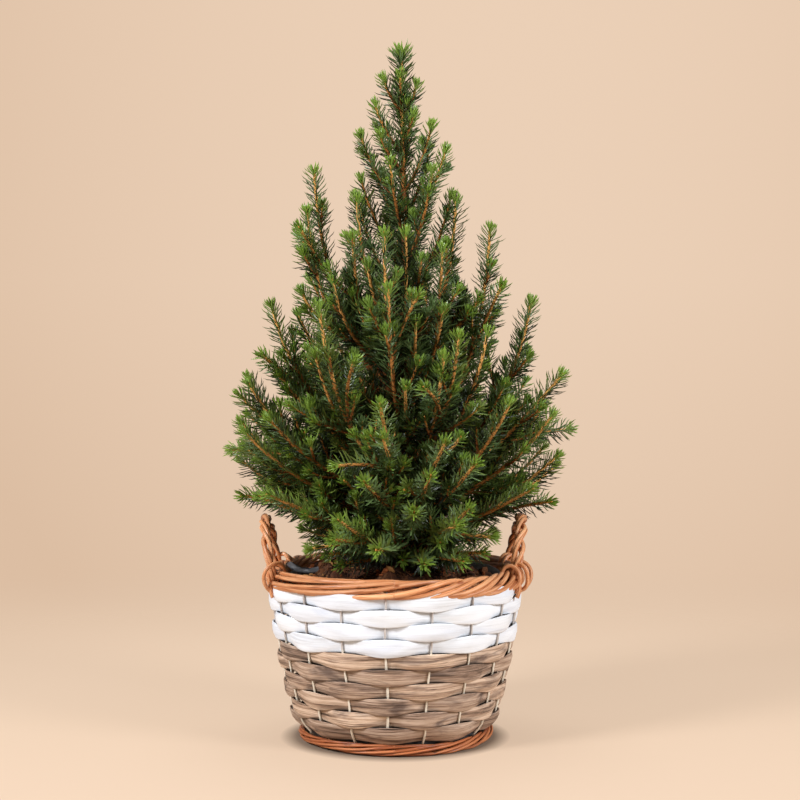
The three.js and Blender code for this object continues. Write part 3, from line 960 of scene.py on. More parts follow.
class Crumb(Enum):
    """Plain colours of the clods and fibres on the soil, and how many there are of each."""

    DARK = (Plain("crumb_dark", tint(48, 27, 16), 0.9, 0.2), 420)
    BROWN = (Plain("crumb_brown", tint(92, 55, 31), 0.88, 0.2), 330)
    RUST = (Plain("crumb_rust", tint(140, 76, 38), 0.85, 0.25), 110)
    STRAW = (Plain("crumb_straw", tint(176, 124, 72), 0.8, 0.25), 70)


@dataclass
class SoilBed:
    """Coarse compost heaped towards the stem, with clods of bark and loose fibres on it."""

    crest: float = 129 * MM
    crest_radius: float = 50 * MM
    edge: float = 117 * MM
    radius: float = 79.5 * MM
    low: float = 104 * MM
    lumps: tuple[tuple[float, float, int], ...] = ((4.6, 24, 1), (1.3, 10, 2), (0.6, 4, 4))
    clod: Span = (0.6 * MM, 4.6 * MM)
    fibre: Span = (5 * MM, 16 * MM)
    fibre_radius: Span = (0.25 * MM, 0.55 * MM)
    fibre_lift: Span = (0.3 * MM, 1.6 * MM)
    seed: int = 8

    def height_at(self, x: Floats, y: Floats) -> Floats:
        """The height of the soil: a flat crest, a slope to the edge, and lumps of three sizes."""
        reach = np.hypot(x, y)
        slope = gone(reach, self.crest_radius, self.radius - self.crest_radius)
        spot = np.stack([x, y, 0 * x], axis=-1)
        lumps = sum(tall * MM * Roughness(wide * MM, seed).at(spot) for tall, wide, seed in self.lumps)
        return lerp(self.crest, self.edge, slope) + lumps * np.clip((self.radius - reach) / (6 * MM), 0.3, 1)

    def bed(self) -> None:
        """Makes the bed: a round grid of that height, closed by a skirt and a flat underside."""
        angle = full_turn(240)
        reach = np.linspace(self.radius, 0.6 * MM, 96)[:, None]
        x, y = reach * np.cos(angle), reach * np.sin(angle)
        top = np.stack([x, y, self.height_at(x, y)], axis=-1)
        skirt = top[:1] * [1, 1, 0] + [0, 0, self.low]
        rings = np.concatenate([skirt * [0.01, 0.01, 1], skirt, top])
        heap = Fabric("soil_bed")
        heap.add(*shell(rings, [0, 0, self.low], [0, 0, top[-1, :, 2].mean()]))
        heap.piece(Compost().dress(), "soil", "soil")

    def litter(self, crumb: Crumb) -> None:
        """Makes the clods and fibres of one colour.

        A clod is a rough lump of twelve points, pressed flat and turned by chance. A fibre is a thin
        rod on a bent line that lies on the bed.

        Args:
            crumb: Which colour.
        """
        finish, count = crumb.value
        rng = np.random.default_rng(self.seed + count)
        g = (1 + math.sqrt(5)) / 2
        lump = unit(np.array([[-1, g, 0], [1, g, 0], [-1, -g, 0], [1, -g, 0], [0, -1, g], [0, 1, g],
                              [0, -1, -g], [0, 1, -g], [g, 0, -1], [g, 0, 1], [-g, 0, -1], [-g, 0, 1]]))
        facets = np.array([[0, 11, 5], [0, 5, 1], [0, 1, 7], [0, 7, 10], [0, 10, 11], [1, 5, 9], [5, 11, 4],
                           [11, 10, 2], [10, 7, 6], [7, 1, 8], [3, 9, 4], [3, 4, 2], [3, 2, 6], [3, 6, 8],
                           [3, 8, 9], [4, 9, 5], [2, 4, 11], [6, 2, 10], [8, 6, 7], [9, 8, 1]])
        reach = (self.radius - 3 * MM) * np.sqrt(rng.uniform(0.02, 1, count))
        turn = rng.uniform(0, 2 * np.pi, count)
        x, y = reach * np.cos(turn), reach * np.sin(turn)
        size = (rng.gamma(3.0, 0.55, count) * MM).clip(*self.clod)
        shapes = lump[None] * rng.uniform(0.65, 1.25, (count, len(lump), 1))
        press = [np.ones(count), rng.uniform(0.45, 1, count), rng.uniform(0.3, 0.7, count)]
        spin = np.linalg.qr(rng.normal(size=(count, 3, 3)))[0]
        spin *= np.sign(np.linalg.det(spin))[:, None, None]
        shapes = np.einsum("nij,nkj->nki", spin, shapes * np.stack(press, axis=1)[:, None])
        shapes *= size[:, None, None]
        shapes += np.stack([x, y, self.height_at(x, y) + 0.25 * size], axis=1)[:, None]
        heap = Fabric(finish.name)
        heap.add(shapes.reshape(-1, 3),
                 [(facets[None] + len(lump) * np.arange(count)[:, None, None]).reshape(-1, 3)])
        for _ in range(count // 4):
            start = np.append(rng.uniform(-1, 1, 2) * self.radius * 0.62, 0.0)
            way = np.append(unit(rng.normal(size=2)), 0.0) * rng.uniform(*self.fibre)
            path = bend(start, start + way * 0.5 + np.cross(way, UP) * rng.uniform(-0.5, 0.5), start + way, 8)
            path[:, 2] = self.height_at(path[:, 0], path[:, 1]) + rng.uniform(*self.fibre_lift)
            heap.rod(path, rng.uniform(*self.fibre_radius), UP, 4)
        heap.piece(finish.dress(), "soil", "soil", smooth=False)

    def build(self) -> None:
        """Makes the bed and its litter."""
        self.bed()
        for crumb in Crumb:
            self.litter(crumb)


# The plant


@dataclass(frozen=True)
class TierShape:
    """What the boughs of one tier share: where a bough's curve is pulled to, as shares of its reach
    and of its rise, how its side lobe fans out, drops and reaches, and how thick the limb is."""

    lean: float
    lift: float
    spread: float
    drop: float
    out: float
    limb: float


class Tier(Enum):
    """The four storeys of boughs."""

    HIGH = TierShape(0.92, 0.28, 24, 46, 1.26, 2.3)
    MID = TierShape(0.82, 0.3, 21, 40, 1.09, 2.6)
    LOW = TierShape(0.56, 0.42, 18, 48, 1.08, 2.8)
    SKIRT = TierShape(0.58, 0.30, 19, 27, 0.94, 2.6)


@dataclass(frozen=True)
class BoughPlan:
    """One main bough: its tier, its turn in degrees, the height of its root on the trunk, how far
    out and how high its tip is, in millimetres, and the side of its long side lobe."""

    tier: Tier
    turn: float
    root: float
    reach: float
    tip: float
    side: int


@dataclass(frozen=True)
class PlumePlan:
    """A slim bough without a side lobe: its turn in degrees, and in millimetres the height of its
    root, how far out its tip is and how high."""

    turn: float
    root: float
    reach: float
    tip: float

    def front(self) -> float:
        """How much it faces the front, from 0 to 1."""
        return max(-math.sin(math.radians(self.turn)), 0)


BOUGHS = tuple(BoughPlan(tier, *row) for tier, rows in (
    (Tier.HIGH, ((176, 262, 62, 436, 1), (-4, 214, 72, 392, -1), (262, 196, 58, 386, 1),
                 (88, 238, 60, 414, -1))),
    (Tier.MID, ((172, 206, 97, 334, 1), (4, 186, 105, 337, 1), (233, 176, 92, 332, 1),
                (302, 200, 88, 312, -1), (84, 190, 100, 330, 1))),
    (Tier.LOW, ((-9, 168, 130, 281, 1), (190, 162, 122, 265, -1), (264, 158, 106, 262, -1),
                (132, 172, 122, 262, 1), (46, 158, 124, 270, -1))),
    (Tier.SKIRT, ((12, 142, 130, 208, -1), (166, 146, 128, 212, 1), (300, 144, 108, 186, 1),
                  (246, 140, 104, 178, -1), (88, 138, 118, 196, 1))),
) for row in rows)

PLUMES = tuple(PlumePlan(*row) for row in (
    (280, 214, 46, 387), (228, 250, 47, 385), (311, 236, 53, 375), (342, 290, 48, 413), (209, 300, 33, 414),
    (187, 262, 67, 405), (266, 205, 70, 346), (327, 200, 82, 314), (228, 180, 88, 298), (294, 188, 87, 297),
    (302, 160, 112, 219), (265, 176, 106, 239), (290, 178, 107, 235), (258, 160, 112, 206),
    (283, 162, 113, 211), (195, 158, 119, 226), (277, 148, 111, 184), (244, 142, 107, 162),
    (295, 145, 109, 173), (262, 141, 103, 155), (233, 139, 86, 148), (318, 139, 92, 148),
    (181, 176, 114, 279), (170, 158, 124, 243), (158, 146, 118, 196), (206, 146, 116, 190),
    (212, 172, 112, 250), (345, 166, 124, 252), (19, 152, 126, 222), (334, 148, 116, 196),
    (10, 176, 116, 262), (322, 170, 108, 262),
))

LOW_PLUMES = tuple(PlumePlan(*row) for row in (
    (236, 138.5, 77, 140), (270, 139, 74, 137), (286, 139, 80, 141), (305, 139, 90, 143),
))

LEADER_SHOOTS = tuple(PlumePlan(*row) for row in (
    (195, 475, 15, 504), (350, 470, 13, 500), (265, 478, 9, 507), (190, 443, 21, 485), (330, 452, 12, 478),
    (222, 430, 23, 461), (187, 403, 32, 462), (345, 414, 25, 469), (352, 384, 35, 451), (250, 378, 25, 441),
    (312, 358, 36, 434), (340, 332, 41, 416), (197, 328, 36, 416), (90, 468, 14, 497), (70, 432, 22, 478),
    (120, 424, 24, 470), (45, 395, 32, 455), (135, 388, 33, 446), (90, 372, 34, 436), (60, 350, 40, 420),
    (105, 338, 42, 408), (158, 360, 34, 430),
))


@dataclass(frozen=True)
class CrownLines:
    """The plant's main sizes, in metres."""

    ground: float = 124.3 * MM
    top: float = 528 * MM
    foot_lean: float = 12 * MM
    tip_lean: float = 4.3 * MM
    sway: float = 2.5 * MM
    trunk_top: float = 506 * MM
    foot_radius: float = 8.2 * MM
    tip_radius: float = 0.8 * MM
    flare: float = 4.5 * MM
    skirt: float = 134 * MM
    rim_reach: float = 62 * MM
    over_rim: float = 139 * MM
    handle_reach: float = 76 * MM
    handle_half: float = 45 * MM
    handle_top: float = 174 * MM
    tuft: float = 5.5 * MM
    leader_foot: float = 318 * MM
    upper_foot: float = 330 * MM

    def trunk_axis(self, height: Value) -> Floats:
        """The middle of the trunk at a height: it leans back to the middle, with a slight sway."""
        share = (np.asarray(height, float) - self.ground) / (self.top - self.ground)
        lean = lerp(self.foot_lean, self.tip_lean, share)
        return np.stack([lean, self.sway * np.sin(np.pi * share), height], axis=-1)

    def half_width(self, height: float) -> float:
        """How far out the crown reaches at a height, by straight lines between a few heights."""
        heights = np.array([130, 180, 209, 232, 265, 302, 331, 390, 435, 466, 500, 528]) * MM
        reaches = np.array([80, 118, 130, 137, 127, 108, 100, 78, 60, 34, 19, 6]) * MM
        return float(np.interp(height, heights, reaches))

    def upper(self, height: float) -> float:
        """How much a height belongs to the open upper crown, from 0 to 1."""
        return gone(height, self.upper_foot, 50 * MM)

    def is_free(self, path: Floats) -> bool:
        """Whether a stem keeps off the rim, the handles and the ground under the crown."""
        reach = np.hypot(path[:, 0], path[:, 1])
        if (path[2:, 2] < np.where(reach[2:] > self.rim_reach, self.over_rim, self.skirt)).any():
            return False
        by_handle = (np.abs(path[:, 0]) > self.handle_reach) & (np.abs(path[:, 1]) < self.handle_half)
        return not bool((by_handle & (path[:, 2] < self.handle_top)).any())

    def stem(self, start: Floats, pull: Floats, end: Floats, count: int) -> Floats:
        """A curved stem towards an end, short of it by what the needles of its tuft add."""
        path = bend(start, pull, end, 60)
        length = run_lengths(path)[-1]
        return at_lengths(path, np.linspace(0, length - min(self.tuft, 0.3 * length), count))[0]


def outward(turn: float, reach: float, height: float) -> Floats:
    """The point at a turn in degrees, and in millimetres a reach from the middle line and a height."""
    turn = math.radians(turn)
    return np.array([reach * MM * math.cos(turn), reach * MM * math.sin(turn), height * MM])


@dataclass
class Shoot:
    """One stem of the plant with what is known of its needles. The leader's order is 0, that of boughs 1, of
    side shoots 2 and of twiglets 3. Its depth is 1 at the outside of the crown; the lower it is, the deeper
    the colours dealt to its needles, as painted shade."""

    path: Floats
    thick: float
    thin: float
    order: int
    clad_from: float = 0.0
    vigour: float = 0.5
    depth: float = 1.0

    @property
    def length(self) -> float:
        """The length of the stem."""
        return float(run_lengths(self.path)[-1])

    @property
    def top(self) -> float:
        """The height of its tip."""
        return self.path[-1, 2]


@dataclass(frozen=True)
class Spread:
    """How side shoots stand on their parent: their order, the distance from one to the next, how far
    from the parent's tip the first is where the parent's vigour is middling, their length as a share
    of their own distance to that tip with its least and its greatest, the angle they open by
    near the tip and far from it, and how thick they are."""

    order: int
    step: float
    from_tip: float
    share: float
    shortest: float
    longest: float
    narrow: float
    wide: float
    thick: float


SIDE_SHOOTS = Spread(2, 17 * MM, 27 * MM, 0.52, 16 * MM, 52 * MM, 24, 42, 1.25 * MM)
TWIGLETS = Spread(3, 14 * MM, 14 * MM, 0.42, 9 * MM, 17 * MM, 32, 46, 0.8 * MM)


@dataclass
class Growth:
    """The branching rule: boughs leave the trunk, side shoots leave the boughs, twiglets leave those.

    Heights of plans are in millimetres. A slim bough with its tip below highest_echo has an echo at
    the back, mirrored about half the echo_turn. Slim boughs turn upright by the height of their tip:
    `upright` is where that starts and over what stretch it grows.
    """

    lines: CrownLines
    seed: int = 2024
    fillers: int = 60
    highest_filler: Span = (330, 378)
    upright: Span = (150, 230)
    fork: int = 16
    echo_turn: float = 13
    echo_height: float = 0.985
    highest_echo: float = 380
    upper_step: float = 1.8
    leader_width: Span = (3.4 * MM, 1.1 * MM)
    steep_width: Span = (1.5 * MM, 0.9 * MM)
    plume_width: Span = (2.4 * MM, 1.05 * MM)
    bough_end: float = 1.05 * MM
    lobe_end: float = 1.0 * MM
    least_forked: float = 26 * MM
    crest: float = 465 * MM
    crest_shade: float = 0.12
    shoots: list[Shoot] = field(default_factory=list)

    def __post_init__(self) -> None:
        """Starts the source of chance."""
        self.rng = np.random.default_rng(self.seed)

    def exposure(self, point: Floats) -> float:
        """How near a point is to the outside of the crown, from 0 at the trunk to about 1."""
        axis = self.lines.trunk_axis(point[2])
        return float(np.hypot(*(point - axis)[:2]) / max(self.lines.half_width(point[2]), 12 * MM))

    def rising(self, plan: BoughPlan | PlumePlan, lean: float, lift: float, count: int,
               aside: float = 0.0) -> Floats:
        """The curved stem of a plan, from the trunk's axis to its tip.

        Args:
            plan: Its sizes.
            lean: The share of its reach that it is pulled to.
            lift: The share of its rise that it is pulled to.
            count: How many points.
            aside: How far to the right its tip is moved.

        Returns:
            The points.
        """
        start = self.lines.trunk_axis(plan.root * MM)
        tip = outward(plan.turn, plan.reach, plan.tip) + [aside, 0, 0]
        pull = lerp(start, tip, lean)
        pull[2] = lerp(start[2], tip[2], lift)
        return self.lines.stem(start, pull, tip, count)

    def bough(self, plan: BoughPlan) -> None:
        """Adds a main bough and the long side lobe that forks off it.

        The bough runs from the trunk's axis to its tip, pulled to the shares of its tier. The lobe
        leaves it at two fifths of its run, tangent to it.

        Args:
            plan: The bough's sizes.
        """
        shape = plan.tier.value
        path = self.rising(plan, shape.lean, shape.lift, 40)
        self.shoots.append(Shoot(path, shape.limb * MM, self.bough_end, 1, 0.34, 0.95))
        end = outward(plan.turn + plan.side * shape.spread, plan.reach * shape.out, plan.tip - shape.drop)
        fork, way = path[self.fork], headings(path)[self.fork]
        lobe = self.lines.stem(fork, fork + way * np.linalg.norm(end - fork) * 0.45, end, 26)
        self.shoots.append(Shoot(lobe, shape.limb * 0.65 * MM, self.lobe_end, 1, 0.08, 0.9))

    def plume(self, plan: PlumePlan, vigour: float = 1.15) -> None:
        """Adds a slim bough if there is room; the higher its tip, the sooner it turns upright.

        Args:
            plan: Its sizes.
            vigour: How vigorous it is; the more so, the longer its tip stays unforked.
        """
        steep = gone(plan.tip, *self.upright)
        lift = lerp(0.42 + 0.28 * plan.front(), 0.24, steep)
        path = self.rising(plan, lerp(0.55, 0.93, steep), lift, 34)
        if self.lines.is_free(path):
            self.shoots.append(Shoot(path, *self.plume_width, 1, 0.3, vigour))

    def filler(self, index: int) -> None:
        """Adds one of the lesser boughs that fill the inside, round the trunk by the golden turn."""
        rng = self.rng
        share = (index + 0.5) / self.fillers
        turn = 20 + math.degrees(GOLDEN_TURN) * index + rng.uniform(-8, 8)
        root = lerp(137, 322, share**1.35) + rng.uniform(-2, 4)
        rise = lerp(16, 74, min(share * 1.6, 1.0)) * rng.uniform(0.8, 1.25)
        tip = min(root + rise, rng.uniform(*self.highest_filler))
        plan = PlumePlan(turn, root, self.lines.half_width(tip * MM) / MM, tip)
        plan = replace(plan, reach=plan.reach * rng.uniform(0.52, 0.9 - 0.3 * plan.front()))
        self.plume(plan, rng.uniform(0.3, 0.9))

    def leader(self) -> None:
        """Adds the leading shoot and the steep shoots that stand round it."""
        lines = self.lines
        path = lines.trunk_axis(np.linspace(lines.leader_foot, lines.top - 1.6 * lines.tuft, 60))
        self.shoots.append(Shoot(path, *self.leader_width, 0, 0.0, 0.95))
        for plan in LEADER_SHOOTS:
            path = self.rising(plan, 0.74, 0.4, 18, lines.tip_lean)
            self.shoots.append(Shoot(path, *self.steep_width, 2, 0.04, self.rng.uniform(0.8, 1.1)))

    def side_shoots(self, parent: Shoot, spread: Spread) -> None:
        """Adds side shoots along a stem, round it by the golden turn and shorter towards its tip.

        Args:
            parent: The stem that they grow on.
            spread: How they stand on it.
        """
        rng, total = self.rng, parent.length
        first = max(parent.clad_from * 0.8, 0.14) * total
        bare = spread.from_tip * (0.5 + 1.3 * parent.vigour)
        step = spread.step * lerp(1.0, self.upper_step, self.lines.upper(parent.top))
        places = np.arange(total - bare, first, -step)
        count = len(places)
        if not count:
            return
        places = places + rng.uniform(-0.3, 0.3, count) * spread.step
        roots, ways = at_lengths(parent.path, places)
        side = unit(np.cross(ways, UP + 1e-6))
        over = np.cross(side, ways)
        turn = rng.uniform(0, 6) + GOLDEN_TURN * np.arange(count) + rng.uniform(-0.4, 0.4, count)
        to_tip = total - places
        angle = lerp(spread.narrow, spread.wide, gone(to_tip, 0, 110 * MM)) + rng.uniform(-7, 7, count)
        starts = wheel(np.radians(angle), ways, unit(wheel(turn, side, 0.55 * over)))
        long = np.clip(to_tip * spread.share, spread.shortest, spread.longest) * rng.uniform(0.7, 1.12, count)
        for root, start, reach in zip(roots, starts, long):
            self.side_shoot(root, start, float(reach), spread)

    def side_shoot(self, root: Floats, way: Floats, reach: float, spread: Spread) -> None:
        """Adds one side shoot, or a shorter one where the crown ends, if there is room for it.

        Args:
            root: Where it starts.
            way: Its first direction; from half its length it turns upward.
            reach: How long it is.
            spread: The rule for its kind.
        """
        rng = self.rng
        later = unit(way + UP * rng.uniform(0.45, 0.95))
        end = root + way * reach * 0.5 + later * reach * 0.5
        limit = self.lines.half_width(end[2]) * rng.uniform(0.88, 1.0)
        distance = float(np.hypot(*(end - self.lines.trunk_axis(end[2]) * [0.5, 1, 1])[:2]))
        if distance > limit:
            reach *= max(0.4, 1 - (distance - limit) / reach)
        pull = root + way * reach * 0.5
        path = bend(root, pull, pull + later * reach * 0.5, max(5, int(reach / (3.2 * MM))))
        if self.lines.is_free(path):
            vigour = rng.uniform(0.1, 1)
            self.shoots.append(Shoot(path, spread.thick, spread.thick * 0.55, spread.order, 0.04, vigour))

    def shade(self, shoot: Shoot) -> None:
        """Sets the depth of a shoot, which deals its needles deeper colours as painted shade: its exposure,
        within bounds that draw closer high up.
        """
        high = gone(shoot.top, 360 * MM, 80 * MM)
        least = lerp(0.5, 0.8, high) if high > 0 else 0.0
        # Above the crest the depth is held lower, which gives deeper needle colours as painted shade.
        most = lerp(1.05, 0.84, high) - (self.crest_shade if shoot.top > self.crest else 0.0)
        shoot.depth = max(min(self.exposure(shoot.path[-1]), most), min(least, most))

    def grow(self) -> list[Shoot]:
        """Runs the rule from the trunk outward.

        Returns:
            All clad shoots.
        """
        self.leader()
        for plan in BOUGHS:
            self.bough(plan)
        for plan in PLUMES:
            self.plume(plan)
            if plan.tip < self.highest_echo:
                self.plume(replace(plan, turn=self.echo_turn - plan.turn, tip=plan.tip * self.echo_height))
        for index in range(self.fillers):
            self.filler(index)
        for plan in LOW_PLUMES:
            self.plume(plan)
        for spread, shortest in ((SIDE_SHOOTS, 0.0), (TWIGLETS, self.least_forked)):
            parents = [shoot for shoot in self.shoots if shoot.order == spread.order - 1]
            for parent in parents:
                if parent.length > shortest:
                    self.side_shoots(parent, spread)
        for shoot in self.shoots:
            self.shade(shoot)
        log.info("shoots: %d, %.1f m in all", len(self.shoots), sum(shoot.length for shoot in self.shoots))
        return self.shoots


@dataclass
class Wood:
    """Trunk, limbs and twigs, with bark that stands out in relief, and the buds at the tips."""

    lines: CrownLines
    shoots: list[Shoot]

    @staticmethod
    def fade(run: Floats, most: float) -> Floats:
        """The tone along a stem, from a fifth of its most at the root to all of it near the tip."""
        return most * (0.2 + 0.8 * gone(run[:, 0] / run[:, 0].max(), 0.25, 0.65))

    def trunk(self) -> None:
        """Makes the trunk: a taper with a flared foot, and scaly plates as factors on its radius."""
        lines, sides = self.lines, 26
        share = np.linspace(0, 1, 190) ** 1.2
        radius = lerp(lines.foot_radius, lines.tip_radius, share**0.55)
        buttress = np.repeat(lines.flare * np.exp(-share * 45) / radius, sides)
        plates, grains = Roughness(5.5 * MM, 31), Roughness(2.1 * MM, 32)

        def relief(points: Floats, angle: Floats) -> Floats:
            """Factor on the radius: plates and grains of bark, and buttresses at the foot."""
            points = points * [1.0, 1.0, 0.45]
            foot = buttress * (1 + 0.35 * np.cos(4 * angle + 0.6))
            return 1 + 0.075 * plates.at(points) + 0.04 * grains.at(points) + foot

        stem = Fabric("trunk_bark")
        path = lines.trunk_axis(lerp(lines.ground, lines.trunk_top, share))
        stem.rod(path, radius, np.array([1.0, 0, 0]), sides, tone=0.75, relief=relief)
        stem.piece(Bark("trunk_bark", tint(156, 104, 68), tint(74, 44, 28), 1.0).dress(), "bark", "trunk")

    def limbs(self) -> None:
        """Makes the boughs, each one tapering limb, with small knobs where needles once stood."""
        knobs = Roughness(2.6 * MM, 33)
        limbs = Fabric("bough_bark")
        rng = np.random.default_rng(34)
        for shoot in self.shoots:
            if shoot.order < 2:
                count = int(shoot.length / (1.6 * MM))
                path, way = at_lengths(shoot.path, np.linspace(0, shoot.length, count))
                radius = lerp(shoot.thick, shoot.thin, np.linspace(0, 1, count) ** 0.7)
                limbs.rod(path, radius, unit(np.cross(way.mean(0), UP) + [0.01, 0, 0]), 8, rng,
                          lambda points, run: self.fade(run, rng.uniform(0.7, 1)),
                          relief=lambda points, angle: 1 + 0.11 * knobs.at(points))
        limbs.piece(Bark("bough_bark", tint(244, 188, 106), tint(150, 92, 36), 1.6).dress(), "bark",
                    *[f"bough_{index + 1:02d}" for index in range(len(BOUGHS))])

    def twigs(self) -> None:
        """Makes the side shoots and twiglets as thin tapering rods."""
        sprigs = Fabric("twigs")
        rng = np.random.default_rng(35)
        for shoot in self.shoots:
            if shoot.order > 1:
                path = shoot.path
                radius = lerp(shoot.thick, shoot.thin, np.linspace(0, 1, len(path)))
                sprigs.rod(path, radius, unit(np.cross(path[-1] - path[0], UP) + [1e-4, 0, 0]), 5,
                           tone=lambda points, run: self.fade(run, rng.uniform(0.6, 1)))
        bark = Bark("twig_bark", tint(236, 178, 92), tint(156, 98, 36), 2.4)
        sprigs.piece(bark.dress(), "bark", "mass_leader")

    def buds(self) -> None:
        """Makes a bud on each tip: an egg of five rings along the shoot's last direction."""
        share = np.linspace(0, np.pi, 7)[1:-1, None, None]
        rng = np.random.default_rng(36)
        cluster = Fabric("buds")
        for shoot in self.shoots:
            way = headings(shoot.path)[-1]
            side = unit(np.cross(way, UP) + [1e-4, 0, 0])
            wide = rng.uniform(0.7, 1.1) * MM * (1 if shoot.order < 3 else 0.75)
            hoop = wide * wheel(full_turn(6), side, np.cross(way, side))
            tall = wide * 1.7 * way
            middle = shoot.path[-1] + tall * 0.4
            rings = middle + np.sin(share) * hoop - np.cos(share) * tall
            cluster.add(*shell(rings, middle - tall, middle + tall))
        cluster.piece(Plain("bud_scales", tint(200, 134, 58), 0.5).dress(), "bark", "mass_leader")

    def build(self) -> None:
        """Makes all the wood."""
        self.trunk()
        self.limbs()
        self.twigs()
        self.buds()


@dataclass
class Needles:
    """The needles: slim three-sided blades round every clad shoot, dealt out to plain colours."""

    lines: CrownLines
    shoots: list[Shoot]
    spacing: float = 0.7 * MM
    length: Span = (7.2 * MM, 12.6 * MM)
    high_length: float = 11.4 * MM
    grown: float = 9 * MM
    width: float = 1.08 * MM
    keel: float = 0.58 * MM
    open_angle: float = math.radians(58)
    tip_angle: float = math.radians(31)
    tip_run: float = 10 * MM
    upward: float = 0.05
    old_from: float = 35 * MM
    old_run: float = 60 * MM
    old_bare: float = 0.45
    light_run: float = 9 * MM
    leaf_run: float = 5.5 * MM
    bright_run: float = 3.5 * MM
    crowd: tuple[float, int] = (2.6 * MM, 15)
    leader_crowd: tuple[float, int] = (9 * MM, 48)
    largest: int = 21000
    seed: int = 77

    def stand(self, shoot: Shoot, rng: Rng) -> tuple[Floats, ...]:
        """Where the needles of one shoot stand, and how.

        They follow one another up the stem by the golden turn, thinner on old wood, with a crowd at
        the tip. A needle leans from the stem by the open angle, and by less and less over the last
        stretch to the tip, and a little upward.

        Args:
            shoot: The stem.
            rng: Source of chance.

        Returns:
            Roots, directions, the stem's directions, lengths and tones.
        """
        leads, total = shoot.order == 0, shoot.length
        spacing = self.spacing * (0.45 if leads else min(lerp(1.0, 0.74, self.lines.upper(shoot.top)),
                                                         lerp(1.15, 0.72, gone(shoot.depth, 0.55, 0.35))))
        places = np.arange(total * shoot.clad_from + 1.5 * MM, total, spacing)
        if shoot.order < 2:
            old = gone(total - places, self.old_from, self.old_run)
            places = places[rng.uniform(0, 1, len(places)) > self.old_bare * old]
        reach, crowd = self.leader_crowd if leads else self.crowd
        places = np.concatenate([places, np.linspace(total - reach, total, crowd)])
        count = len(places)
        places = np.clip(places + rng.uniform(-0.5, 0.5, count) * spacing, 0, total)
        to_tip = total - places
        roots, ways = at_lengths(shoot.path, places)
        side = unit(np.cross(ways, UP) + [1e-5, 0, 0])
        turn = GOLDEN_TURN * np.arange(count) + rng.uniform(-0.5, 0.5, count)
        spokes = wheel(turn, side, np.cross(side, ways))
        lean = lerp(self.tip_angle * (1.5 if leads else 1), self.open_angle, gone(to_tip, 0, self.tip_run))
        lean = lean + rng.uniform(-0.24, 0.24, count)
        lean[-crowd:] += rng.uniform(-0.42, 0.2, crowd)
        aim = wheel(lean, ways, spokes) + UP * self.upward
        roots = roots + spokes * lerp(shoot.thick, shoot.thin, places / total)[:, None] * 0.7
        most = lerp(self.length[1], self.high_length, gone(shoot.top, 340 * MM, 80 * MM))
        grown = gone(to_tip, 0, self.grown)
        long = lerp(self.length[0], most, grown**0.7) * (lerp(1.5, 1.15, grown) if leads else 1)
        long = long * rng.uniform(0.72, 1.12, count) * (0.9 if shoot.order == 3 else 1.0)
        return roots, unit(aim), ways, long, self.tones(shoot, to_tip, spokes[:, 2], rng)

    def tones(self, shoot: Shoot, to_tip: Floats, facing: Floats, rng: Rng) -> Whole:
        """Deals a colour to each needle of a shoot.

        A spray has one colour, the deeper the lower its depth, as painted shade inside the crown; the next
        deeper one underneath, as painted shade; a lighter one on top, as painted light; and fresher ones
        towards its tip.

        Args:
            shoot: The stem.
            to_tip: How far each needle is from the tip.
            facing: How far each needle points up, from -1 to 1.
            rng: Source of chance.

        Returns:
            Indexes into the list of tones.
        """
        tones = list(NeedleTone)
        # Painted shade: the deeper inside the crown the shoot is, the deeper its colour.
        base = float(np.clip(min(shoot.depth, 1.05) * 4.8 - 0.9 + rng.normal(0, 0.7), 0, 4.2))
        bluish, leaf = tones.index(NeedleTone.BLUISH), tones.index(NeedleTone.LEAF)
        own = round(base) if rng.uniform() > 0.45 or base < 1.6 else bluish
        facing = facing + rng.normal(0, 0.35, len(facing))
        # Painted shade on needles that point down, and painted light on those that point up.
        dealt = np.where(facing < -0.25, max(own - 1 - (own == bluish), 0), own)
        dealt[facing > 0.8] = min(own + 1 + (own < bluish), leaf)
        dealt[to_tip < self.light_run] = min(own + 1, leaf)
        if shoot.depth > 0.55 and shoot.vigour > 0.3:
            dealt[to_tip < self.leaf_run] = leaf
            bright = NeedleTone.TIP if shoot.vigour > 0.75 else NeedleTone.FRESH
            dealt[(to_tip < self.bright_run) & (rng.uniform(0, 1, len(dealt)) < 0.75)] = tones.index(bright)
        return dealt

    def blades(self, roots: Floats, aims: Floats, ways: Floats, longs: Floats) -> tuple[Floats, list[Whole]]:
        """Needles as blades of seven points.

        A blade has a three-cornered ring near its root, another at 0.76 of its length and a point. It
        is flat towards the shoot's tip, keeled beneath, and curves towards the tip.

        Args:
            roots: Where the needles stand.
            aims: Where they point.
            ways: The directions of their stems.
            longs: Their lengths.

        Returns:
            Points, and arrays of faces.
        """
        over = unit(ways - (ways * aims).sum(1, keepdims=True) * aims)
        side, long = np.cross(aims, over), longs[:, None]
        corners = []
        for share, wide, curve in ((0.02, 0.8, 0.0), (0.76, 1.0, 0.04)):
            middle = roots + aims * long * share + over * long * curve
            half = side * self.width * wide / 2
            corners += [middle + half, middle - over * self.keel * wide, middle - half]
        points = np.stack([*corners, roots + aims * long + over * long * 0.1], axis=1)
        start = 7 * np.arange(len(roots))[:, None]
        sides = ((1, 0), (2, 1), (0, 2))
        quads = [start + [a, b, b + 3, a + 3] for a, b in sides]
        ends = [start + [a + 3, b + 3, 6] for a, b in sides] + [start + [0, 1, 2]]
        return points.reshape(-1, 3), [np.concatenate(quads), np.concatenate(ends)]

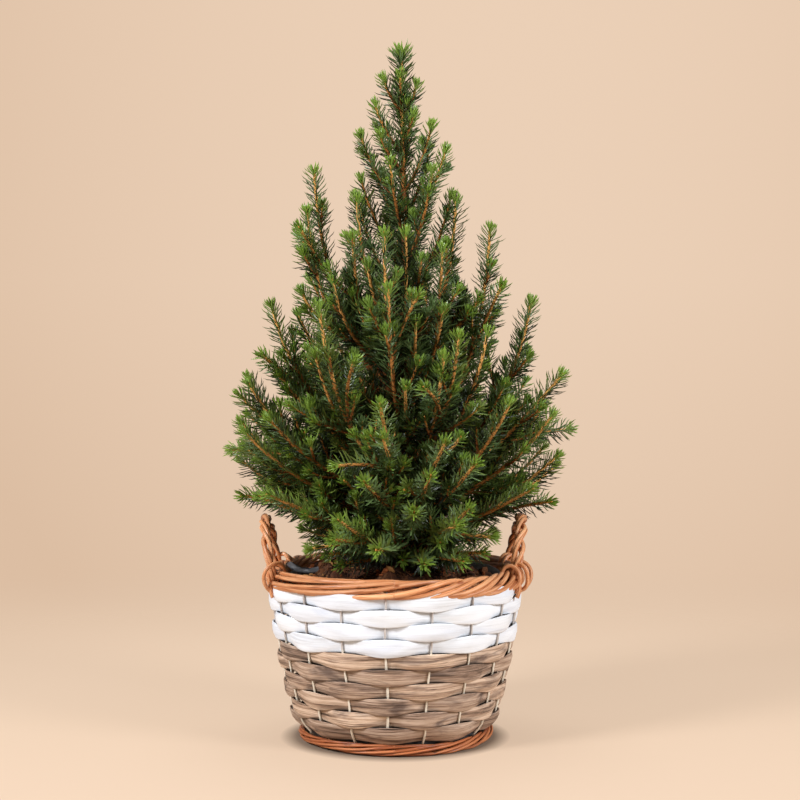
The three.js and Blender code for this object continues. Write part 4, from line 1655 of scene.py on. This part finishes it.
    def build(self) -> None:
        """Makes the needles, each colour in pieces of bounded size, for all the masses of foliage."""
        rng = np.random.default_rng(self.seed)
        stands = [self.stand(shoot, rng) for shoot in self.shoots]
        *blades, tones = (np.concatenate(parts) for parts in zip(*stands))
        masses = [f"mass_{index + 1:02d}" for index in range(len(BOUGHS))]
        masses += ["mass_leader", "core_high", "core_low"]
        log.info("needles: %d", len(tones))
        for index, tone in enumerate(NeedleTone):
            finish = tone.value.dress()
            young = tone in (NeedleTone.FRESH, NeedleTone.TIP, NeedleTone.LEAF)
            chosen = np.flatnonzero(tones == index)
            for part, some in enumerate(np.array_split(chosen, math.ceil(len(chosen) / self.largest))):
                spray = Fabric(f"{tone.value.name}_{part + 1}")
                spray.add(*self.blades(*(values[some] for values in blades)))
                spray.piece(finish, "foliage_fresh" if young else "foliage", *masses, smooth=False)


@dataclass
class Spruce:
    """The plant: it grows by its rule, then gets its wood and its needles."""

    lines: CrownLines = field(default_factory=CrownLines)

    def build(self) -> None:
        """Makes every piece of the plant."""
        shoots = Growth(self.lines).grow()
        Wood(self.lines, shoots).build()
        Needles(self.lines, shoots).build()


# The studio


@dataclass(frozen=True)
class SoftBox:
    """A round soft lamp that looks at the middle of the plant."""

    name: str
    place: tuple[float, float, float]
    size: float
    power: float
    colour: tuple[float, float, float]

    def build(self) -> None:
        """Hangs the lamp."""
        lamp = bpy.data.lights.new(self.name, "AREA")
        lamp.shape = "DISK"
        lamp.size, lamp.energy, lamp.color = self.size, self.power, self.colour
        made = bpy.data.objects.new(self.name, lamp)
        made.location = self.place
        x, y, z = np.array([0, 0, 0.25]) - self.place
        made.rotation_euler = (math.atan2(math.hypot(x, y), -z), 0.0, math.atan2(-x, y))
        bpy.context.scene.collection.objects.link(made)


@dataclass
class Studio:
    """A pale floor that fades into a warm backdrop, soft lamps and the camera.

    The floor glows by its glow strength, as painted light that lightens the lamps' shadows on it, from the
    far end of its glow reach on, and less the nearer it is to the basket, so that the shadow round the
    basket's foot stays dark. The camera's focus is in widths of its sensor, and camera_drop is the tangent of
    its pitch.
    """

    floor_size: float = 2.4
    painted_fill_glow: float = 0.57
    painted_glow_reach: Span = (75.5 * MM, 88.5 * MM)
    fade_reach: Span = (0.3, 1.05)
    camera_place: tuple[float, float, float] = (3.6 * MM, -1.4, 0.32)
    focus: float = 1842 / 800
    sensor: float = 36
    camera_drop: float = 83 / 1842

    def floor(self) -> None:
        """Lays the floor: a round sheet whose far part gives way to the backdrop."""
        rings, spokes = 60, 96
        reach = np.linspace(MM, self.floor_size, rings)[::-1, None]
        points = around(full_turn(spokes), reach, -0.2 * MM).reshape(-1, 3)
        mesh = bpy.data.meshes.new("floor")
        mesh.from_pydata(points.tolist(), [], sheet_faces(rings, spokes, ring=True).tolist())
        made = bpy.data.objects.new("floor", mesh)
        bpy.context.scene.collection.objects.link(made)
        paper = Recipe("floor_paper", 0.85, 0.15)
        place = paper.place()
        cloud = paper.noise(place, (1.5, 1.5, 1.5), 2, 0.5)
        colour = paper.ramp(cloud, (0.3, tint(142, 123, 104)), (0.7, tint(146, 127, 108)))
        depth = paper.node("SeparateXYZ", {"Vector": place}).outputs["Y"]
        paper.finish(paper.blend(paper.between(depth, 0.02, -0.2), colour, tint(144, 125, 107)))
        distance = paper.node("VectorMath", {"Vector": place}, operation="LENGTH").outputs["Value"]
        # Painted light: the floor glows to lighten the shadows the lamps cast on it, from nothing near the
        # basket to full strength farther out.
        painted_fill_glow = paper.between(distance, *self.painted_glow_reach, 0.0, self.painted_fill_glow)
        paper.join(painted_fill_glow, paper.shader.inputs["Emission Strength"])
        paper.shader.inputs["Emission Color"].default_value = tint(238, 210, 184)
        fade = paper.between(distance, *self.fade_reach, interpolation_type="SMOOTHSTEP")
        clear = paper.node("BsdfTransparent", {}).outputs[0]
        mixed = paper.node("MixShader", {0: fade, 1: paper.shader.outputs[0], 2: clear}).outputs[0]
        paper.join(mixed, paper.tree.nodes["Material Output"].inputs["Surface"])
        mesh.materials.append(paper.material)

    def backdrop(self) -> None:
        """Sets the plain backdrop, with painted light that makes it lighter upward and to the middle, and the
        even light all round.
        """
        world = bpy.data.worlds.new("backdrop")
        world.use_nodes = True
        sky = Nodes(world.node_tree)
        way = sky.node("TexCoord", {}).outputs["Generated"]
        part = sky.node("SeparateXYZ", {"Vector": way}).outputs
        # Painted light on the backdrop: lighter upward and towards the middle.
        rise = sky.between(part["Z"], -0.2, 0.02, 0.25, 0.9)
        curve = sky.node("Math", {0: part["X"], 1: -8.5, 2: 0.9}, operation="MULTIPLY_ADD").outputs[0]
        lean = sky.node("Math", {0: part["X"], 1: curve, 2: rise}, operation="MULTIPLY_ADD").outputs[0]
        colour = sky.ramp(lean, (0.0, tint(220, 190, 163)), (1.0, tint(236, 209, 184)))
        seen = sky.tree.nodes["Background"]
        sky.join(colour, seen.inputs["Color"])
        seen.inputs["Strength"].default_value = 1.0
        light = sky.node("Background", {"Color": (1.0, 0.93, 0.86, 1.0), "Strength": 0.3}).outputs[0]
        direct = sky.node("LightPath", {}).outputs["Is Camera Ray"]
        mixed = sky.node("MixShader", {0: direct, 1: light, 2: seen.outputs[0]}).outputs[0]
        sky.join(mixed, sky.tree.nodes["World Output"].inputs["Surface"])
        bpy.context.scene.world = world
        bpy.context.scene.view_settings.view_transform = "Standard"

    def camera(self) -> None:
        """Sets the camera a little above the basket, level with the crown's middle."""
        lens = bpy.data.cameras.new("camera")
        lens.sensor_width = self.sensor
        lens.lens = self.focus * self.sensor
        lens.clip_end = 20
        made = bpy.data.objects.new("camera", lens)
        made.location = self.camera_place
        made.rotation_euler = (math.pi / 2 - math.atan(self.camera_drop), 0.0, 0.0)
        bpy.context.scene.collection.objects.link(made)
        bpy.context.scene.camera = made

    def build(self) -> None:
        """Makes floor, backdrop, lamps and camera."""
        self.camera()
        self.floor()
        self.backdrop()
        SoftBox("key", (-1.2, -0.95, 1.1), 0.5, 35, (0.95, 0.99, 1.05)).build()
        SoftBox("fill", (1.3, -0.9, 0.85), 0.6, 25.5, (0.95, 0.99, 1.05)).build()
        SoftBox("top", (0.0, 0.3, 1.5), 0.6, 7, (0.95, 0.99, 1.04)).build()


def main() -> None:
    """Builds the stage, the basket, the pot and the plant."""
    logging.basicConfig(level=logging.INFO, format="%(name)s: %(message)s")
    for part in (Studio, Basket, NurseryPot, SoilBed, Spruce):
        part().build()


if __name__ == "__main__":
    main()
